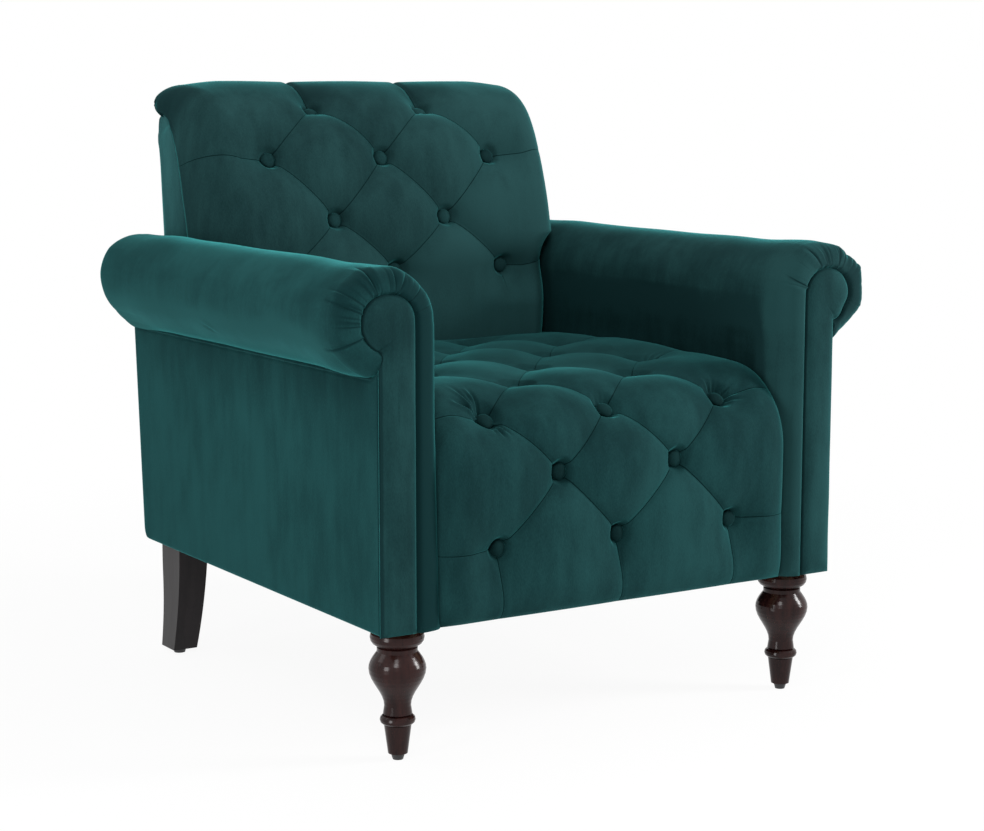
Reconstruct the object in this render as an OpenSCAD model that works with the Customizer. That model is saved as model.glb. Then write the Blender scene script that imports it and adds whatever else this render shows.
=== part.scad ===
// Accent armchair with rolled arms, a diamond-tufted seat and back, and turned front legs.
// Millimetres. Z is up, the front faces -Y, and the origin is on the floor under the middle.
// Left is the side of -X, as seen from the front.

/* [Overall] */
// Depth from the crown of the seat front to the rear of the scroll
chair_d = 777; // [740:1:820]
// Height of the top of the back
chair_h = 822; // [790:1:860]
// Height of the underside of the body, which the legs carry
leg_h = 166; // [150:1:185]
// Width over the outer walls of the arms
body_w = 690; // [670:1:720]
// Lean of the rear face of the body, in degrees
back_lean = 3.8; // [2:0.1:5]

/* [Arms] */
// Width of an arm between its outer wall and its inner face
arm_w = 77; // [72:0.5:82]
// Radius of the arm roll
roll_r = 66; // [60:0.5:72]
// Height of the centre of the arm roll
roll_z = 541; // [525:1:560]
// Radius of the round head of the front facing
facing_r = 36; // [32:0.5:40]
// Radius of the rounded rear end of the roll
roll_rear_r = 20; // [14:0.5:24]
// Thickness of velvet with its thin wadding
velvet_t = 5; // [4:0.1:6]
// Depth of the arm pad below the outer surface
pad_depth = 24; // [20:0.5:26]
// Thickness of the padded front facing
facing_t = 8; // [6:0.5:10]

/* [Seat] */
// Height of the dimples at the top of the seat
seat_h = 437; // [420:1:450]
// Depth of the seat tufts
seat_puff = 26; // [18:0.5:30]
// How far the crown of the seat stands before the facings
seat_bulge = 13; // [8:0.5:18]
// Radius of the waterfall front, at the dimples
seat_front_r = 89; // [80:1:100]
// Radius of the slight crown along the top of the seat
seat_top_r = 3774; // [2500:10:5000]
// Distance from the underside to the first row of seat buttons
seat_row_first = 89; // [80:1:96]
// Distance between the first two rows, on the upright front
seat_gap_front = 87; // [80:1:94]
// Distance between the rows round the waterfall edge
seat_gap_edge = 73.5; // [70:0.5:78]
// Distance from the last row to the hidden rear end of the seat
seat_row_last = 101; // [90:1:112]
// Number of rows of seat buttons
seat_rows = 8; // [6, 7, 8]

/* [Back] */
// How far the back stands over the inner face of each arm
back_over = 22; // [12:0.5:30]
// Depth of the back from its lumbar to the rear of the scroll
back_d = 220; // [210:1:230]
// Radius of the tall front curve of the back
back_face_r = 550; // [500:5:600]
// Radius of the curve over the top of the back
back_top_r = 130; // [115:1:140]
// Radius of the scroll along the top rear
scroll_r = 33; // [30:0.5:36]
// Depth of the back tufts
back_puff = 31; // [24:0.5:33]
// Width of one rounded side of the back, as a share of the width of the back
back_round_share = 0.1035; // [0.08:0.0005:0.11]
// Depth of the front cover along the side of the back
back_side_d = 95; // [85:1:105]
// Distance between two buttons of one row, as a share of the width of the back
back_pitch_share = 0.3155; // [0.305:0.0005:0.325]
// Distance from the foot of the back to its lowest row of buttons
back_row_first = 104; // [98:1:110]
// Distance between the two lowest rows of the back
back_gap_low = 80; // [74:1:86]
// Distance between the other rows of the back
back_gap = 96; // [90:1:100]

/* [Buttons] */
// Diameter of a covered button
button_d = 22; // [18:0.5:24]
// Height of a covered button
button_h = 7; // [5:0.5:9]

/* [Frame timber] */
// Thickness of the seat rails
rail_t = 36; // [30:1:40]
// Height of the seat rails
rail_h = 122; // [100:1:130]
// Thickness of the scroll boards in the arms
board_t = 18; // [15:0.5:19]
// Width of a back post
post_w = 40; // [32:1:46]
// Depth of a back post
post_t = 36; // [30:1:40]
// Thickness of the back rails
back_rail_t = 20; // [16:0.5:24]
// Height of the top rail of the back
back_rail_h = 92; // [80:1:100]
// Leg length of the corner blocks
block_l = 60; // [45:1:70]

/* [Springs] */
// Number of zigzag springs
spring_n = 5; // [4, 5]
// Thickness of the spring wire
wire_d = 4; // [3.2:0.1:4.2]
// Width of a zigzag spring
spring_w = 48; // [40:1:56]
// Length of one loop of a zigzag spring
spring_pitch = 24; // [20:1:30]
// Thickness of the cloth over the springs
cloth_t = 2; // [1:0.1:3]
// Width of a strap of webbing
webbing_w = 50; // [40:1:55]

/* [Legs] */
// Distance from an outer wall to the centre of the front leg under it
leg_inset = 44; // [40:1:48]
// Distance from the facing plane to the centre of a front leg
leg_set_back = 46; // [42:1:50]
// Greatest radius of the bulb of a front leg
bulb_r = 35.3; // [32:0.1:37]
// Radius of the neck of a front leg
neck_r = 16.5; // [14:0.1:19]
// Width of a rear leg at its top
rear_leg_w = 45; // [40:1:50]
// Width of a rear leg at its foot
rear_foot_w = 36; // [30:1:40]
// Depth of a rear leg at its top
rear_leg_d = 59.5; // [54:0.5:64]
// Height of a plastic glide
glide_h = 8; // [6:0.5:9]
// Diameter of the bolt that holds a leg
bolt_d = 8; // [6:0.5:10]

/* [Outer panels] */
// Thickness of the outer panels
panel_t = 4.7; // [3:0.1:5]
// Thickness of the dust cover
dust_t = 1.6; // [1:0.1:1.8]

/* [Hidden] */
$fn = 72;
velvet = "#1f4d49";
timber = "#c9a577";
foam = "#e9dfb8";
espresso = "#3a1f1a";
black = "#1c1c1c";
steel = "#b8bcc0";
// Clearance between a soft piece and its neighbour
gap = 0.3;
// Clearance of a hand-turned fit in wood
fit = 0.4;

front_y = -chair_d / 2 + seat_bulge;
wall_x = body_w / 2;
seat_w = body_w - 2 * arm_w;
inner_x = seat_w / 2;
back_w = seat_w + 2 * back_over;
leg_span = body_w - 2 * leg_inset;
roll_x = inner_x + roll_r;
border_r = roll_r - facing_r;
scroll_y = chair_d / 2 - scroll_r;
scroll_z = chair_h - scroll_r;
// Foot of the rear face, placed so that the face passes just under the scroll
scroll_notch = 16;
rear_y = scroll_y + scroll_notch - (scroll_z - 24 - leg_h) * tan(back_lean);
function rear_at(z) = rear_y + (z - leg_h) * tan(back_lean);

rail_z = leg_h + 2;
rail_top = rail_z + rail_h;
rail_front_y = front_y + border_r + 2;
rear_rail_y = -panel_t - gap - post_t - rail_t;
arm_low = rail_top + gap;
cloth_z = rail_top + wire_d + 2 + gap;
foam_z = cloth_z + cloth_t + gap;

function mix(a, b, t) = a + (b - a) * t;
function clamp(t) = max(0, min(1, t));
function ease(t) = let (u = clamp(t)) u * u * (3 - 2 * u);
function last(v) = v[len(v) - 1];

module on_side(side) {
  if (side < 0) mirror([1, 0, 0]) children();
  else children();
}

// Places pieces in the leaning plane of the rear face: local Y 0 is that face
module leaning() {
  translate([0, rear_y, leg_h]) rotate([-back_lean, 0, 0]) children();
}

// A closed solid through rings of equal length. Its ends are polygons, or fans from the last point
module loft(rings, fans = false) {
  n = len(rings[0]);
  m = len(rings);
  points = [for (ring = rings) each ring];
  sides = [for (k = [0:m - 2], i = [0:n - 1]) let (a = k * n + i, b = k * n + (i + 1) % n)
    each [[a, b + n, b], [a, a + n, b + n]]];
  end = (m - 1) * n;
  caps = fans
    ? [for (i = [0:n - 3]) each [[n - 1, i, i + 1], [end + n - 1, end + i + 1, end + i]]]
    : [[for (i = [0:n - 1]) i], [for (i = [n - 1:-1:0]) end + i]];
  polyhedron(points, concat(sides, caps), convexity = 8);
}

// As loft(), for rings made of an outer path and an inner path back
module strip_loft(rings) {
  n = len(rings[0]);
  m = len(rings);
  h = n / 2;
  points = [for (ring = rings) each ring];
  sides = [for (k = [0:m - 2], i = [0:n - 1]) let (a = k * n + i, b = k * n + (i + 1) % n)
    each [[a, b + n, b], [a, a + n, b + n]]];
  first = [for (i = [0:h - 2]) let (a = i, b = i + 1, c = n - 2 - i, d = n - 1 - i)
    each [[a, b, c], [a, c, d]]];
  end = (m - 1) * n;
  other = [for (i = [0:h - 2]) let (a = end + i, b = a + 1, c = end + n - 2 - i, d = c + 1)
    each [[a, c, b], [a, d, c]]];
  polyhedron(points, concat(sides, first, other), convexity = 8);
}

// Section of an arm: up the inner face and round the roll to the outer wall, d below the surface
roll_steps = 20;
function wall_angle(d) = acos((wall_x - roll_x) / (roll_r - d));
function arm_path(d, low) = concat(
  [[inner_x + d, low], [inner_x + d, mix(low, roll_z, 0.6)]],
  [for (i = [0:roll_steps]) let (a = mix(180, -wall_angle(d), i / roll_steps))
    [roll_x + (roll_r - d) * cos(a), roll_z + (roll_r - d) * sin(a)]]);

// Inset and distance from the end face of a layer t deep, at angle a round an edge of radius r
function round_inset(t, r, a) = t >= r ? t : r - (r - t) * sin(a);
function round_run(t, t0, r, a) = t >= r ? r - (r - t0) * cos(a) : r - (r - t) * cos(a);

function arm_front_ring(t0, t1, a, extra, low) = concat(
  [for (p = arm_path(round_inset(t0, border_r, a), low))
    [p[0], front_y + round_run(t0, t0, border_r, a) + extra, p[1]]],
  [for (p = reverse(arm_path(round_inset(t1, border_r, a), low)))
    [p[0], front_y + round_run(t1, t0, border_r, a) + extra, p[1]]]);
function arm_rear_ring(t0, t1, a) = concat(
  [for (p = arm_path(round_inset(t0, roll_rear_r, a), arm_low))
    [p[0], rear_at(p[1]) - panel_t - gap - round_run(t0, t0, roll_rear_r, a), p[1]]],
  [for (p = reverse(arm_path(round_inset(t1, roll_rear_r, a), arm_low)))
    [p[0], rear_at(p[1]) - panel_t - gap - round_run(t1, t0, roll_rear_r, a), p[1]]]);
function reverse(v) = [for (i = [len(v) - 1:-1:0]) v[i]];

// One layer of the arm, from t0 to t1 below its outer surface
module arm_layer(t0, t1) {
  rings = concat(
    [for (a = [0:22.5:90]) arm_front_ring(t0, t1, a, 0, leg_h)],
    [arm_front_ring(t0, t1, 90, rail_front_y - front_y - border_r - 2 * gap, arm_low)],
    [for (a = [90:-30:0]) arm_rear_ring(t0, t1, a)]);
  strip_loft(rings);
}

// Keyhole outline of the front board and facing, d inside the facing's own edge
module keyhole(d, outer_x) {
  union() {
    translate([inner_x + border_r + d, leg_h + d])
      square([outer_x - inner_x - border_r - d, roll_z - leg_h - d]);
    translate([roll_x, roll_z]) circle(facing_r - d);
  }
}
module across(y, t) {
  translate([0, y + t, 0]) rotate([90, 0, 0]) linear_extrude(t) children();
}

// Tufts: crowns where column plus row is even, buttons where it is odd, creases between them
function crease(v) = abs(cos(90 * v));
function puff(c, r) = pow((crease(c + r) + crease(c - r)) / 2, 0.7);
// Whether a point lies on the flat seat of a button, in row r of buttons pitch apart at row_s
button_seat = 20;
function on_button(x, s, r, pitch, row_s) = let (c = round(abs(x) / pitch * 2))
  (c + round(r)) % 2 != 0 && c < 3
  && abs(abs(x) - c * pitch / 2) < button_seat && abs(s - row_s) < button_seat;
column_steps = [0, 0.13, 0.38, 0.62, 0.87];
columns = concat([for (k = [0:1], f = column_steps) k + f]);

// Side curve of the seat at the dimples, as [y, z, normal y, normal z], by length from the foot
seat_foot_y = front_y - seat_bulge + seat_puff;
lumbar_y = chair_d / 2 - back_d;
seat_crest_y = mix(front_y, lumbar_y, 0.581);
seat_bend_y = seat_foot_y + seat_front_r;
seat_span_r = seat_top_r - seat_front_r;
seat_phi = asin((seat_crest_y - seat_bend_y) / seat_span_r);
seat_centre_z = seat_h - seat_top_r;
seat_bend_z = seat_centre_z + seat_span_r * cos(seat_phi);
seat_len_front = seat_bend_z - leg_h;
seat_len_bend = seat_front_r * (90 - seat_phi) * PI / 180;
function seat_curve(s) =
  s < seat_len_front ? [seat_foot_y, leg_h + s, -1, 0]
  : s < seat_len_front + seat_len_bend
  ? let (a = 180 - (s - seat_len_front) / seat_front_r * 180 / PI)
    [seat_bend_y + seat_front_r * cos(a), seat_bend_z + seat_front_r * sin(a), cos(a), sin(a)]
  : let (b = (s - seat_len_front - seat_len_bend) / seat_top_r * 180 / PI - seat_phi)
    [seat_crest_y + seat_top_r * sin(b), seat_centre_z + seat_top_r * cos(b), sin(b), cos(b)];
seat_end_s = seat_len_front + seat_len_bend + (lumbar_y + 60 - seat_bend_y);
seat_pitch = seat_w / 3;
seat_row_edge = seat_row_first + seat_gap_front + 2 * seat_gap_edge;
seat_gap_top = (seat_end_s - seat_row_last - seat_row_edge) / (seat_rows - 4);
function seat_row(k) = seat_row_first + seat_gap_front * min(1, k - 1)
  + seat_gap_edge * max(0, min(2, k - 2)) + seat_gap_top * max(0, k - 4);
function row_s_between(k, f) = f == 0 ? seat_row(k) : mix(seat_row(k), seat_row(k + 1), f);

seat_half = inner_x - gap - 0.7;
seat_edge_r = 42;
seat_stations = concat(
  [[0, 1], [12, 1], [34, 1], [seat_row_first - 13, 1]],
  [for (k = [1:seat_rows - 1], f = [0, 0.155, 0.5, 0.845]) [row_s_between(k, f), k + f]],
  [[seat_row(seat_rows), seat_rows], [seat_row(seat_rows) + 13, seat_rows],
    [seat_row(seat_rows) + 30, seat_rows], [seat_end_s, seat_rows]]);
function seat_side_level(s) = mix(14, 5, ease((s - seat_len_front) / seat_len_bend));
// Height of the even tail of the seat, which reaches in under the back
seat_tail = 14;
// How much of the tuft is left near the foot, and how far the tail has taken over
function seat_fade(s) = sqrt(1 - pow(clamp(1 - s / 40), 2));
function seat_to_tail(s) = ease((s - seat_row(seat_rows) - 5) / 24);
function seat_point(x, s, lift) = let (q = seat_curve(s))
  [x, q[0] + q[2] * lift, q[1] + q[3] * lift];
function seat_lift(x, s, r) = let (
    c = min(2, abs(x) / seat_pitch * 2),
    over = clamp((abs(x) - seat_pitch) / (seat_half - seat_pitch)),
    p = mix(puff(c, r), 1, 0.6 * ease(over)),
    w = clamp((abs(x) - seat_half + seat_edge_r) / seat_edge_r),
    edge = sqrt(1 - w * w))
  on_button(x, s, r, seat_pitch, seat_row(round(r))) ? 0
  : mix(mix(seat_side_level(s), seat_puff * p, edge), seat_tail, seat_to_tail(s)) * seat_fade(s);
seat_xs_half = concat([for (c = columns) c * seat_pitch / 2],
  [seat_pitch, seat_pitch + 13, seat_half - seat_edge_r],
  [for (a = [32, 62, 90]) seat_half - seat_edge_r * (1 - sin(a))]);
seat_xs = concat([for (x = reverse(seat_xs_half)) if (x > 0) -x], seat_xs_half);
seat_cover_t = 6;

// Side curve of the back at its crown, from the foot up, over the top and round the scroll
back_pitch = back_w * back_pitch_share;
back_edge_r = back_w * back_round_share;
back_foot_z = seat_h + 10;
top_y = scroll_y - 16;
top_z = chair_h - back_top_r;
face_y = lumbar_y + back_face_r;
face_z = top_z - sqrt(pow(back_face_r - back_top_r, 2) - pow(face_y - top_y, 2));
face_low = asin((back_foot_z - face_z) / back_face_r);
face_high = atan2(top_z - face_z, face_y - top_y);
back_len_face = (face_high - face_low) * back_face_r * PI / 180;
back_len_top = (90 - face_high) * back_top_r * PI / 180;
back_len_flat = scroll_y - top_y;
scroll_turn = 150;
back_len = back_len_face + back_len_top + back_len_flat + scroll_r * scroll_turn * PI / 180;
function back_curve(s) =
  s < back_len_face
  ? let (a = face_low + s / back_face_r * 180 / PI)
    [face_y - back_face_r * cos(a), face_z + back_face_r * sin(a), -cos(a), sin(a)]
  : s < back_len_face + back_len_top
  ? let (a = face_high + (s - back_len_face) / back_top_r * 180 / PI)
    [top_y - back_top_r * cos(a), top_z + back_top_r * sin(a), -cos(a), sin(a)]
  : s < back_len_face + back_len_top + back_len_flat
  ? [top_y + s - back_len_face - back_len_top, chair_h, 0, 1]
  : let (a = (s - back_len_face - back_len_top - back_len_flat) / scroll_r * 180 / PI)
    [scroll_y + scroll_r * sin(a), scroll_z + scroll_r * cos(a), sin(a), cos(a)];
function back_row(k) = back_row_first + back_gap_low * min(1, k - 1) + back_gap * max(0, k - 2);
back_rows = 4;
back_scroll_s = back_len_face + back_len_top + back_len_flat;
// 0 on the tall face, 1 on the scroll
function to_scroll(s) = clamp((s - back_len_face) / (back_scroll_s - back_len_face));
function back_rear_inset(s) = mix(back_side_d, scroll_r - 2, pow(to_scroll(s), 2.5));
function back_inner_inset(s) = mix(back_puff + 6, 20, ease((to_scroll(s) - 0.62) / 0.38));
function back_edge(s) = mix(back_edge_r, 12, ease(to_scroll(s)));
// Half width of the back, which narrows to pass between the arm rolls
function back_half(z) = z <= roll_z ? inner_x - 4 * gap
  : min(back_w / 2, roll_x - sqrt(max(0, pow(roll_r + 4 * gap, 2) - pow(z - roll_z, 2))));
function back_point(x, s, inset) = let (q = back_curve(s))
  [x, q[0] - q[2] * inset, q[1] - q[3] * inset];
function back_z(s, inset) = let (q = back_curve(s)) q[1] - q[3] * inset;
// Depth below the crown of the tufts, which fade out below the lowest row and over the top
function back_sink(x, s, r) = let (
    c = min(2, abs(x) / back_pitch * 2),
    side = ease((abs(x) - back_pitch) / (back_w / 2 - back_edge_r / 3 - back_pitch)),
    low = ease((back_row(1) - s) / 62),
    high = ease((s - back_row(back_rows)) / (back_scroll_s - back_row(back_rows) + 20)),
    p = mix(puff(c, r), 1, max(side, low, high)))
  on_button(x, s, r, back_pitch, back_row(round(r))) ? back_puff : back_puff * (1 - p);
function back_side_column(s, a) = let (inset = back_rear_inset(s) * (1 - cos(a)))
  [back_half(back_z(s, inset)) - back_edge(s) * (1 - sin(a)), inset];
// Inner wall of the cover, which stays inside its rounded side
back_wall_in = 22;
function back_inner_x(s) = back_half(back_z(s, back_inner_inset(s)))
  - mix(back_wall_in, velvet_t, ease(to_scroll(s)));
function back_ring_half(s, r) = concat(
  [for (c = columns) let (x = c * back_pitch / 2) back_point(x, s, back_sink(x, s, r))],
  [for (x = [back_pitch, back_pitch + 13]) back_point(x, s, back_sink(x, s, r))],
  [for (a = [0, 22, 44, 66, 90]) let (q = back_side_column(s, a))
    back_point(q[0], s, q[1] + back_sink(q[0], s, r) * (1 - a / 90))],
  [let (d = back_rear_inset(s)) back_point(back_half(back_z(s, d)) - velvet_t, s, d)],
  [back_point(back_inner_x(s), s, back_inner_inset(s))]);
function flip_x(v) = [for (p = reverse(v)) if (p[0] > 0) [-p[0], p[1], p[2]]];
function back_ring(s, r) = let (h = back_ring_half(s, r)) concat(flip_x(h), h);
back_stations = concat(
  [[0, 1], [38, 1], [74, 1], [back_row_first - 13, 1]],
  [for (k = [1:back_rows - 1], f = [0, 0.15, 0.32, 0.5, 0.68, 0.85])
    [mix(back_row(k), back_row(k + 1), f), k + f]],
  [[back_row(back_rows), back_rows], [back_row(back_rows) + 13, back_rows]],
  [for (f = [0.35, 0.68, 1]) [mix(back_row(back_rows) + 13, back_scroll_s, f), back_rows]],
  [for (f = [1:5]) [mix(back_scroll_s, back_len, f / 5), back_rows]]);

module seat_rail_front() {
  color(timber) difference() {
    translate([-wall_x + panel_t + gap, rail_front_y, rail_z])
      cube([body_w - 2 * (panel_t + gap), rail_t, rail_h]);
    leg_bores(1);
  }
}
rear_rail_x = wall_x - panel_t - gap;
module seat_rail_rear() {
  color(timber) difference() {
    leaning() translate([-rear_rail_x, rear_rail_y, 6]) cube([2 * rear_rail_x, rail_t, rail_h - 4]);
    translate([-wall_x, 0, 0]) cube([body_w, chair_d, rail_z]);
    translate([-wall_x, 0, rail_top]) cube([body_w, chair_d, rail_h]);
    leg_bores(2);
  }
}
side_rail_x = inner_x + pad_depth + 4;
rail_rear_y = rear_at(rail_z) + rear_rail_y * cos(back_lean);
module seat_rail_side(side) {
  color(timber) on_side(side)
    translate([side_rail_x, rail_front_y + rail_t, rail_z])
      cube([wall_x - panel_t - gap - side_rail_x, rail_rear_y - rail_front_y - rail_t - 1, rail_h]);
}
module corner_blocks() {
  block_h = rail_h * 0.55;
  color(timber) for (side = [-1, 1]) on_side(side) {
    translate([side_rail_x, rail_front_y + rail_t, rail_z])
      linear_extrude(block_h) polygon([[0, 0], [-block_l, 0], [0, block_l]]);
    translate([side_rail_x, rail_rear_y - 1, rail_z])
      linear_extrude(block_h) polygon([[0, 0], [0, -block_l], [-block_l, 0]]);
  }
}
board_x = wall_x - panel_t - gap;
front_board_y = front_y + facing_t + gap;
module arm_front_board(side) {
  color(timber) on_side(side) across(front_board_y, rail_front_y - front_board_y - gap)
    intersection() {
      keyhole(gap, board_x);
      translate([0, rail_z]) square([body_w, chair_h]);
    }
}
module arm_rear_board(side) {
  reach = roll_r - pad_depth - gap;
  color(timber) on_side(side) leaning()
    translate([0, -panel_t - gap, 0]) rotate([90, 0, 0]) linear_extrude(board_t) {
      translate([side_rail_x, rail_top - leg_h + 2])
        square([board_x - side_rail_x, roll_z - rail_top - 2]);
      translate([roll_x, roll_z - leg_h]) circle(reach - 2);
    }
}
top_rail_y = rail_front_y;
top_rail_w = 26;
top_rail_h = 44;
module arm_top_rail(side) {
  l = rear_at(roll_z) - panel_t - gap - board_t - 6 - top_rail_y;
  color(timber) on_side(side)
    translate([side_rail_x + 8, top_rail_y, roll_z - top_rail_h / 2]) cube([top_rail_w, l, top_rail_h]);
}
post_x = inner_x - 6 - post_w;
module back_post(side) {
  color(timber) on_side(side) difference() {
    leaning() translate([post_x, -panel_t - gap - post_t, 2]) cube([post_w, post_t, scroll_z - leg_h - 34]);
    translate([0, 0, leg_h - 30]) cube([body_w, chair_d, 32]);
  }
}
module back_top_rail() {
  color(timber) leaning()
    translate([-post_x + gap, -12 - back_rail_t, scroll_z - leg_h - 8 - back_rail_h]) {
      cube([2 * (post_x - gap), back_rail_t, back_rail_h]);
      translate([0, back_rail_t / 2, back_rail_h]) rotate([0, 90, 0])
        cylinder(r = back_rail_t / 2 + 1, h = 2 * (post_x - gap));
    }
}
lower_rail_h = 60;
module back_lower_rail() {
  color(timber) leaning()
    translate([-post_x + gap, -panel_t - gap - post_t, back_foot_z - leg_h + 8])
      cube([2 * (post_x - gap), back_rail_t, lower_rail_h]);
}
spring_y0 = rail_front_y + 8;
spring_run = rear_at(rail_top) + rear_rail_y + rail_t - 12 - spring_y0;
spring_loops = 2 * round(spring_run / spring_pitch / 2);
spring_step = spring_run / spring_loops;
// Free width of the rails beside the outer springs, both sides together
spring_free = 60;
function spring_x(k) = (k - (spring_n - 1) / 2) * (seat_w - spring_free) / spring_n;
module zigzag() {
  bar = spring_w - spring_step;
  r = spring_step / 2;
  for (k = [0:spring_loops]) translate([-bar / 2, k * spring_step - wire_d / 2]) square([bar, wire_d]);
  for (k = [0:spring_loops - 1]) translate([(k % 2 == 0 ? 1 : -1) * bar / 2, (k + 0.5) * spring_step])
    difference() {
      circle(r + wire_d / 2);
      circle(r - wire_d / 2);
      translate([k % 2 == 0 ? -2 * r : 0, -2 * r]) square([2 * r, 4 * r]);
    }
}
module seat_springs() {
  color(steel) for (k = [0:spring_n - 1])
    translate([spring_x(k), spring_y0, rail_top]) linear_extrude(wire_d) zigzag();
}
module spring_clips() {
  color(steel) for (k = [0:spring_n - 1], e = [0, spring_loops])
    translate([spring_x(k), spring_y0 + e * spring_step, rail_top]) difference() {
      translate([-8, -7, 0]) cube([16, 14, wire_d + 2]);
      translate([-9, -wire_d / 2 - gap, -1]) cube([18, wire_d + 2 * gap, wire_d + 1 + gap]);
    }
}
cloth_rear_y = spring_y0 + spring_run + 10;
module spring_cloth() {
  color("#2b2b2b") translate([-seat_half + 4, rail_front_y, cloth_z])
    cube([2 * seat_half - 8, cloth_rear_y - rail_front_y, cloth_t]);
}
module seat_foam() {
  d = seat_cover_t + gap;
  line = [for (q = seat_stations) let (p = seat_point(0, q[0], -d)) [p[1], p[2]]];
  half = seat_half - seat_cover_t;
  color(foam) translate([-half, 0, 0]) rotate([90, 0, 90]) linear_extrude(2 * half)
    polygon(concat(line, [[last(line)[0], foam_z], [rail_front_y - gap, foam_z],
      [rail_front_y - gap, leg_h]]));
}
module seat_cover() {
  color(velvet) loft([for (q = seat_stations) concat(
    [for (x = seat_xs) seat_point(x, q[0], seat_lift(x, q[0], q[1]))],
    [seat_point(seat_half, q[0], -seat_cover_t), seat_point(-seat_half, q[0], -seat_cover_t)])],
    fans = true);
}
module button() {
  dome_r = (pow(button_d / 2, 2) + pow(button_h - 2, 2)) / 2 / (button_h - 2);
  intersection() {
    cylinder(d = button_d, h = button_h);
    translate([0, 0, button_h - dome_r]) sphere(dome_r);
  }
}
// Puts a button on the curve point q, lift above it, at x
module set_button(x, q, lift) {
  translate([x, q[0] + q[2] * lift, q[1] + q[3] * lift])
    rotate([-atan2(q[2], q[3]), 0, 0]) button();
}
module seat_buttons() {
  color(velvet) for (k = [1:seat_rows], c = k % 2 == 1 ? [-2, 0, 2] : [-1, 1])
    set_button(c * seat_pitch / 2, seat_curve(seat_row(k)), gap);
}
strap_n = 4;
module back_webbing() {
  low = back_foot_z - leg_h + 10;
  high = scroll_z - leg_h - back_rail_h - 18;
  color("#5b4a36") leaning() translate([0, -panel_t - gap - post_t - 2, 0]) {
    for (k = [0:strap_n - 1])
      translate([-post_x - post_w, 0, mix(low, high, k / (strap_n - 1))])
        cube([2 * (post_x + post_w), 2, webbing_w]);
  }
}
module back_foam() {
  line = [for (q = back_stations) if (q[0] <= back_len_face + back_len_top - 24)
    let (p = back_point(0, q[0], back_inner_inset(q[0]) + gap)) [p[1], p[2]]];
  half = inner_x - 5 * gap - back_wall_in;
  front = -panel_t - post_t - 2 - 2 * gap;
  color(foam) translate([-half, 0, 0]) rotate([90, 0, 90]) linear_extrude(2 * half)
    polygon(concat(line, [for (z = [last(line)[1] - 8, line[0][1]]) [rear_at(z) + front - 0.4, z]]));
}
module back_cover() {
  color(velvet) loft([for (q = back_stations) back_ring(q[0], q[1])]);
}
module back_buttons() {
  color(velvet) for (k = [1:back_rows], c = k % 2 == 1 ? [-2, 0, 2] : [-1, 1])
    set_button(c * back_pitch / 2, back_curve(back_row(k)), gap - back_puff);
}
module back_side_panel(side) {
  low = roll_z + sqrt(pow(roll_r, 2) - pow(roll_x - back_w / 2, 2)) + 1;
  seam = [for (q = back_stations) let (p = back_point(0, q[0], back_rear_inset(q[0]) + gap))
    if (p[2] > low + 4) [p[1], p[2]]];
  cap = back_point(0, back_len, 6);
  tip = [cap[1] - gap * 2, cap[2] - gap * 2];
  color(velvet) on_side(side) translate([back_w / 2 - velvet_t, 0, 0]) rotate([90, 0, 90])
    linear_extrude(velvet_t) polygon(concat([[seam[0][0] - 1.5, low]], seam,
      [tip, [rear_at(scroll_z - 30) - panel_t - gap, scroll_z - 34], [rear_at(low) - panel_t - gap, low]]));
}
module back_outer_panel() {
  color(velvet) leaning() rotate([90, 0, 0]) linear_extrude(panel_t) {
    translate([-wall_x, 0]) square([body_w, roll_z - leg_h - roll_r + 4]);
    translate([-wall_x + 8, 0]) square([body_w - 16, roll_z - leg_h]);
    translate([-back_w / 2, 0]) square([back_w, scroll_z - leg_h - 30]);
    for (side = [-1, 1]) translate([side * roll_x, roll_z - leg_h]) circle(roll_r - roll_rear_r);
  }
}
module arm_pad(side) {
  color(foam) on_side(side) arm_layer(velvet_t + gap, pad_depth);
}
module arm_cover(side) {
  color(velvet) on_side(side) arm_layer(0, velvet_t);
}
// Top of an outer wall under a roll drawn in by d, which it follows round both ends of the arm
function wall_top(d) = roll_z - sqrt(pow(roll_r - d, 2) - pow(wall_x - roll_x, 2)) - gap;
module arm_outer_panel(side) {
  color(velvet) on_side(side) translate([wall_x - panel_t, 0, 0]) rotate([90, 0, 90])
    linear_extrude(panel_t) polygon(concat(
      [[front_y + facing_t + gap, leg_h], [rear_at(leg_h) - panel_t - gap, leg_h]],
      [for (a = [15:15:90]) let (z = wall_top(round_inset(0, roll_rear_r, a)))
        [rear_at(z) - panel_t - gap - round_run(0, 0, roll_rear_r, a), z]],
      [for (a = [90:-10:50]) [front_y + round_run(0, 0, border_r, a), wall_top(round_inset(0, border_r, a))]],
      [[front_y + facing_t + gap, wall_top(round_inset(0, border_r, 43))]]));
}
module arm_facing(side) {
  color(velvet) on_side(side) {
    across(front_y + 3, facing_t - 3) keyhole(gap, wall_x);
    across(front_y + 1, 2) keyhole(gap + 1.2, wall_x - 1.2);
    across(front_y, 1) keyhole(gap + 3, wall_x - 3);
  }
}
leg_y = front_y + leg_set_back;
rear_leg_x = wall_x - 15 - rear_leg_w / 2;
rear_leg_y = rail_rear_y + rail_t / 2;
module dust_cover() {
  edge = 20;
  color(black) translate([0, 0, rail_z - dust_t]) linear_extrude(dust_t) difference() {
    translate([-wall_x + edge, rail_front_y + edge])
      square([body_w - 2 * edge, rear_at(leg_h) - panel_t - 2 * edge - rail_front_y]);
    for (side = [-1, 1]) {
      translate([side * leg_span / 2, leg_y]) circle(bulb_r + 1);
      translate([side * rear_leg_x - rear_leg_w / 2 - 1, rear_leg_y - 31])
        square([rear_leg_w + 2, 62]);
    }
  }
}
bolt_up = 45;
bolt_down = 40;
insert_h = 18;
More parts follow.
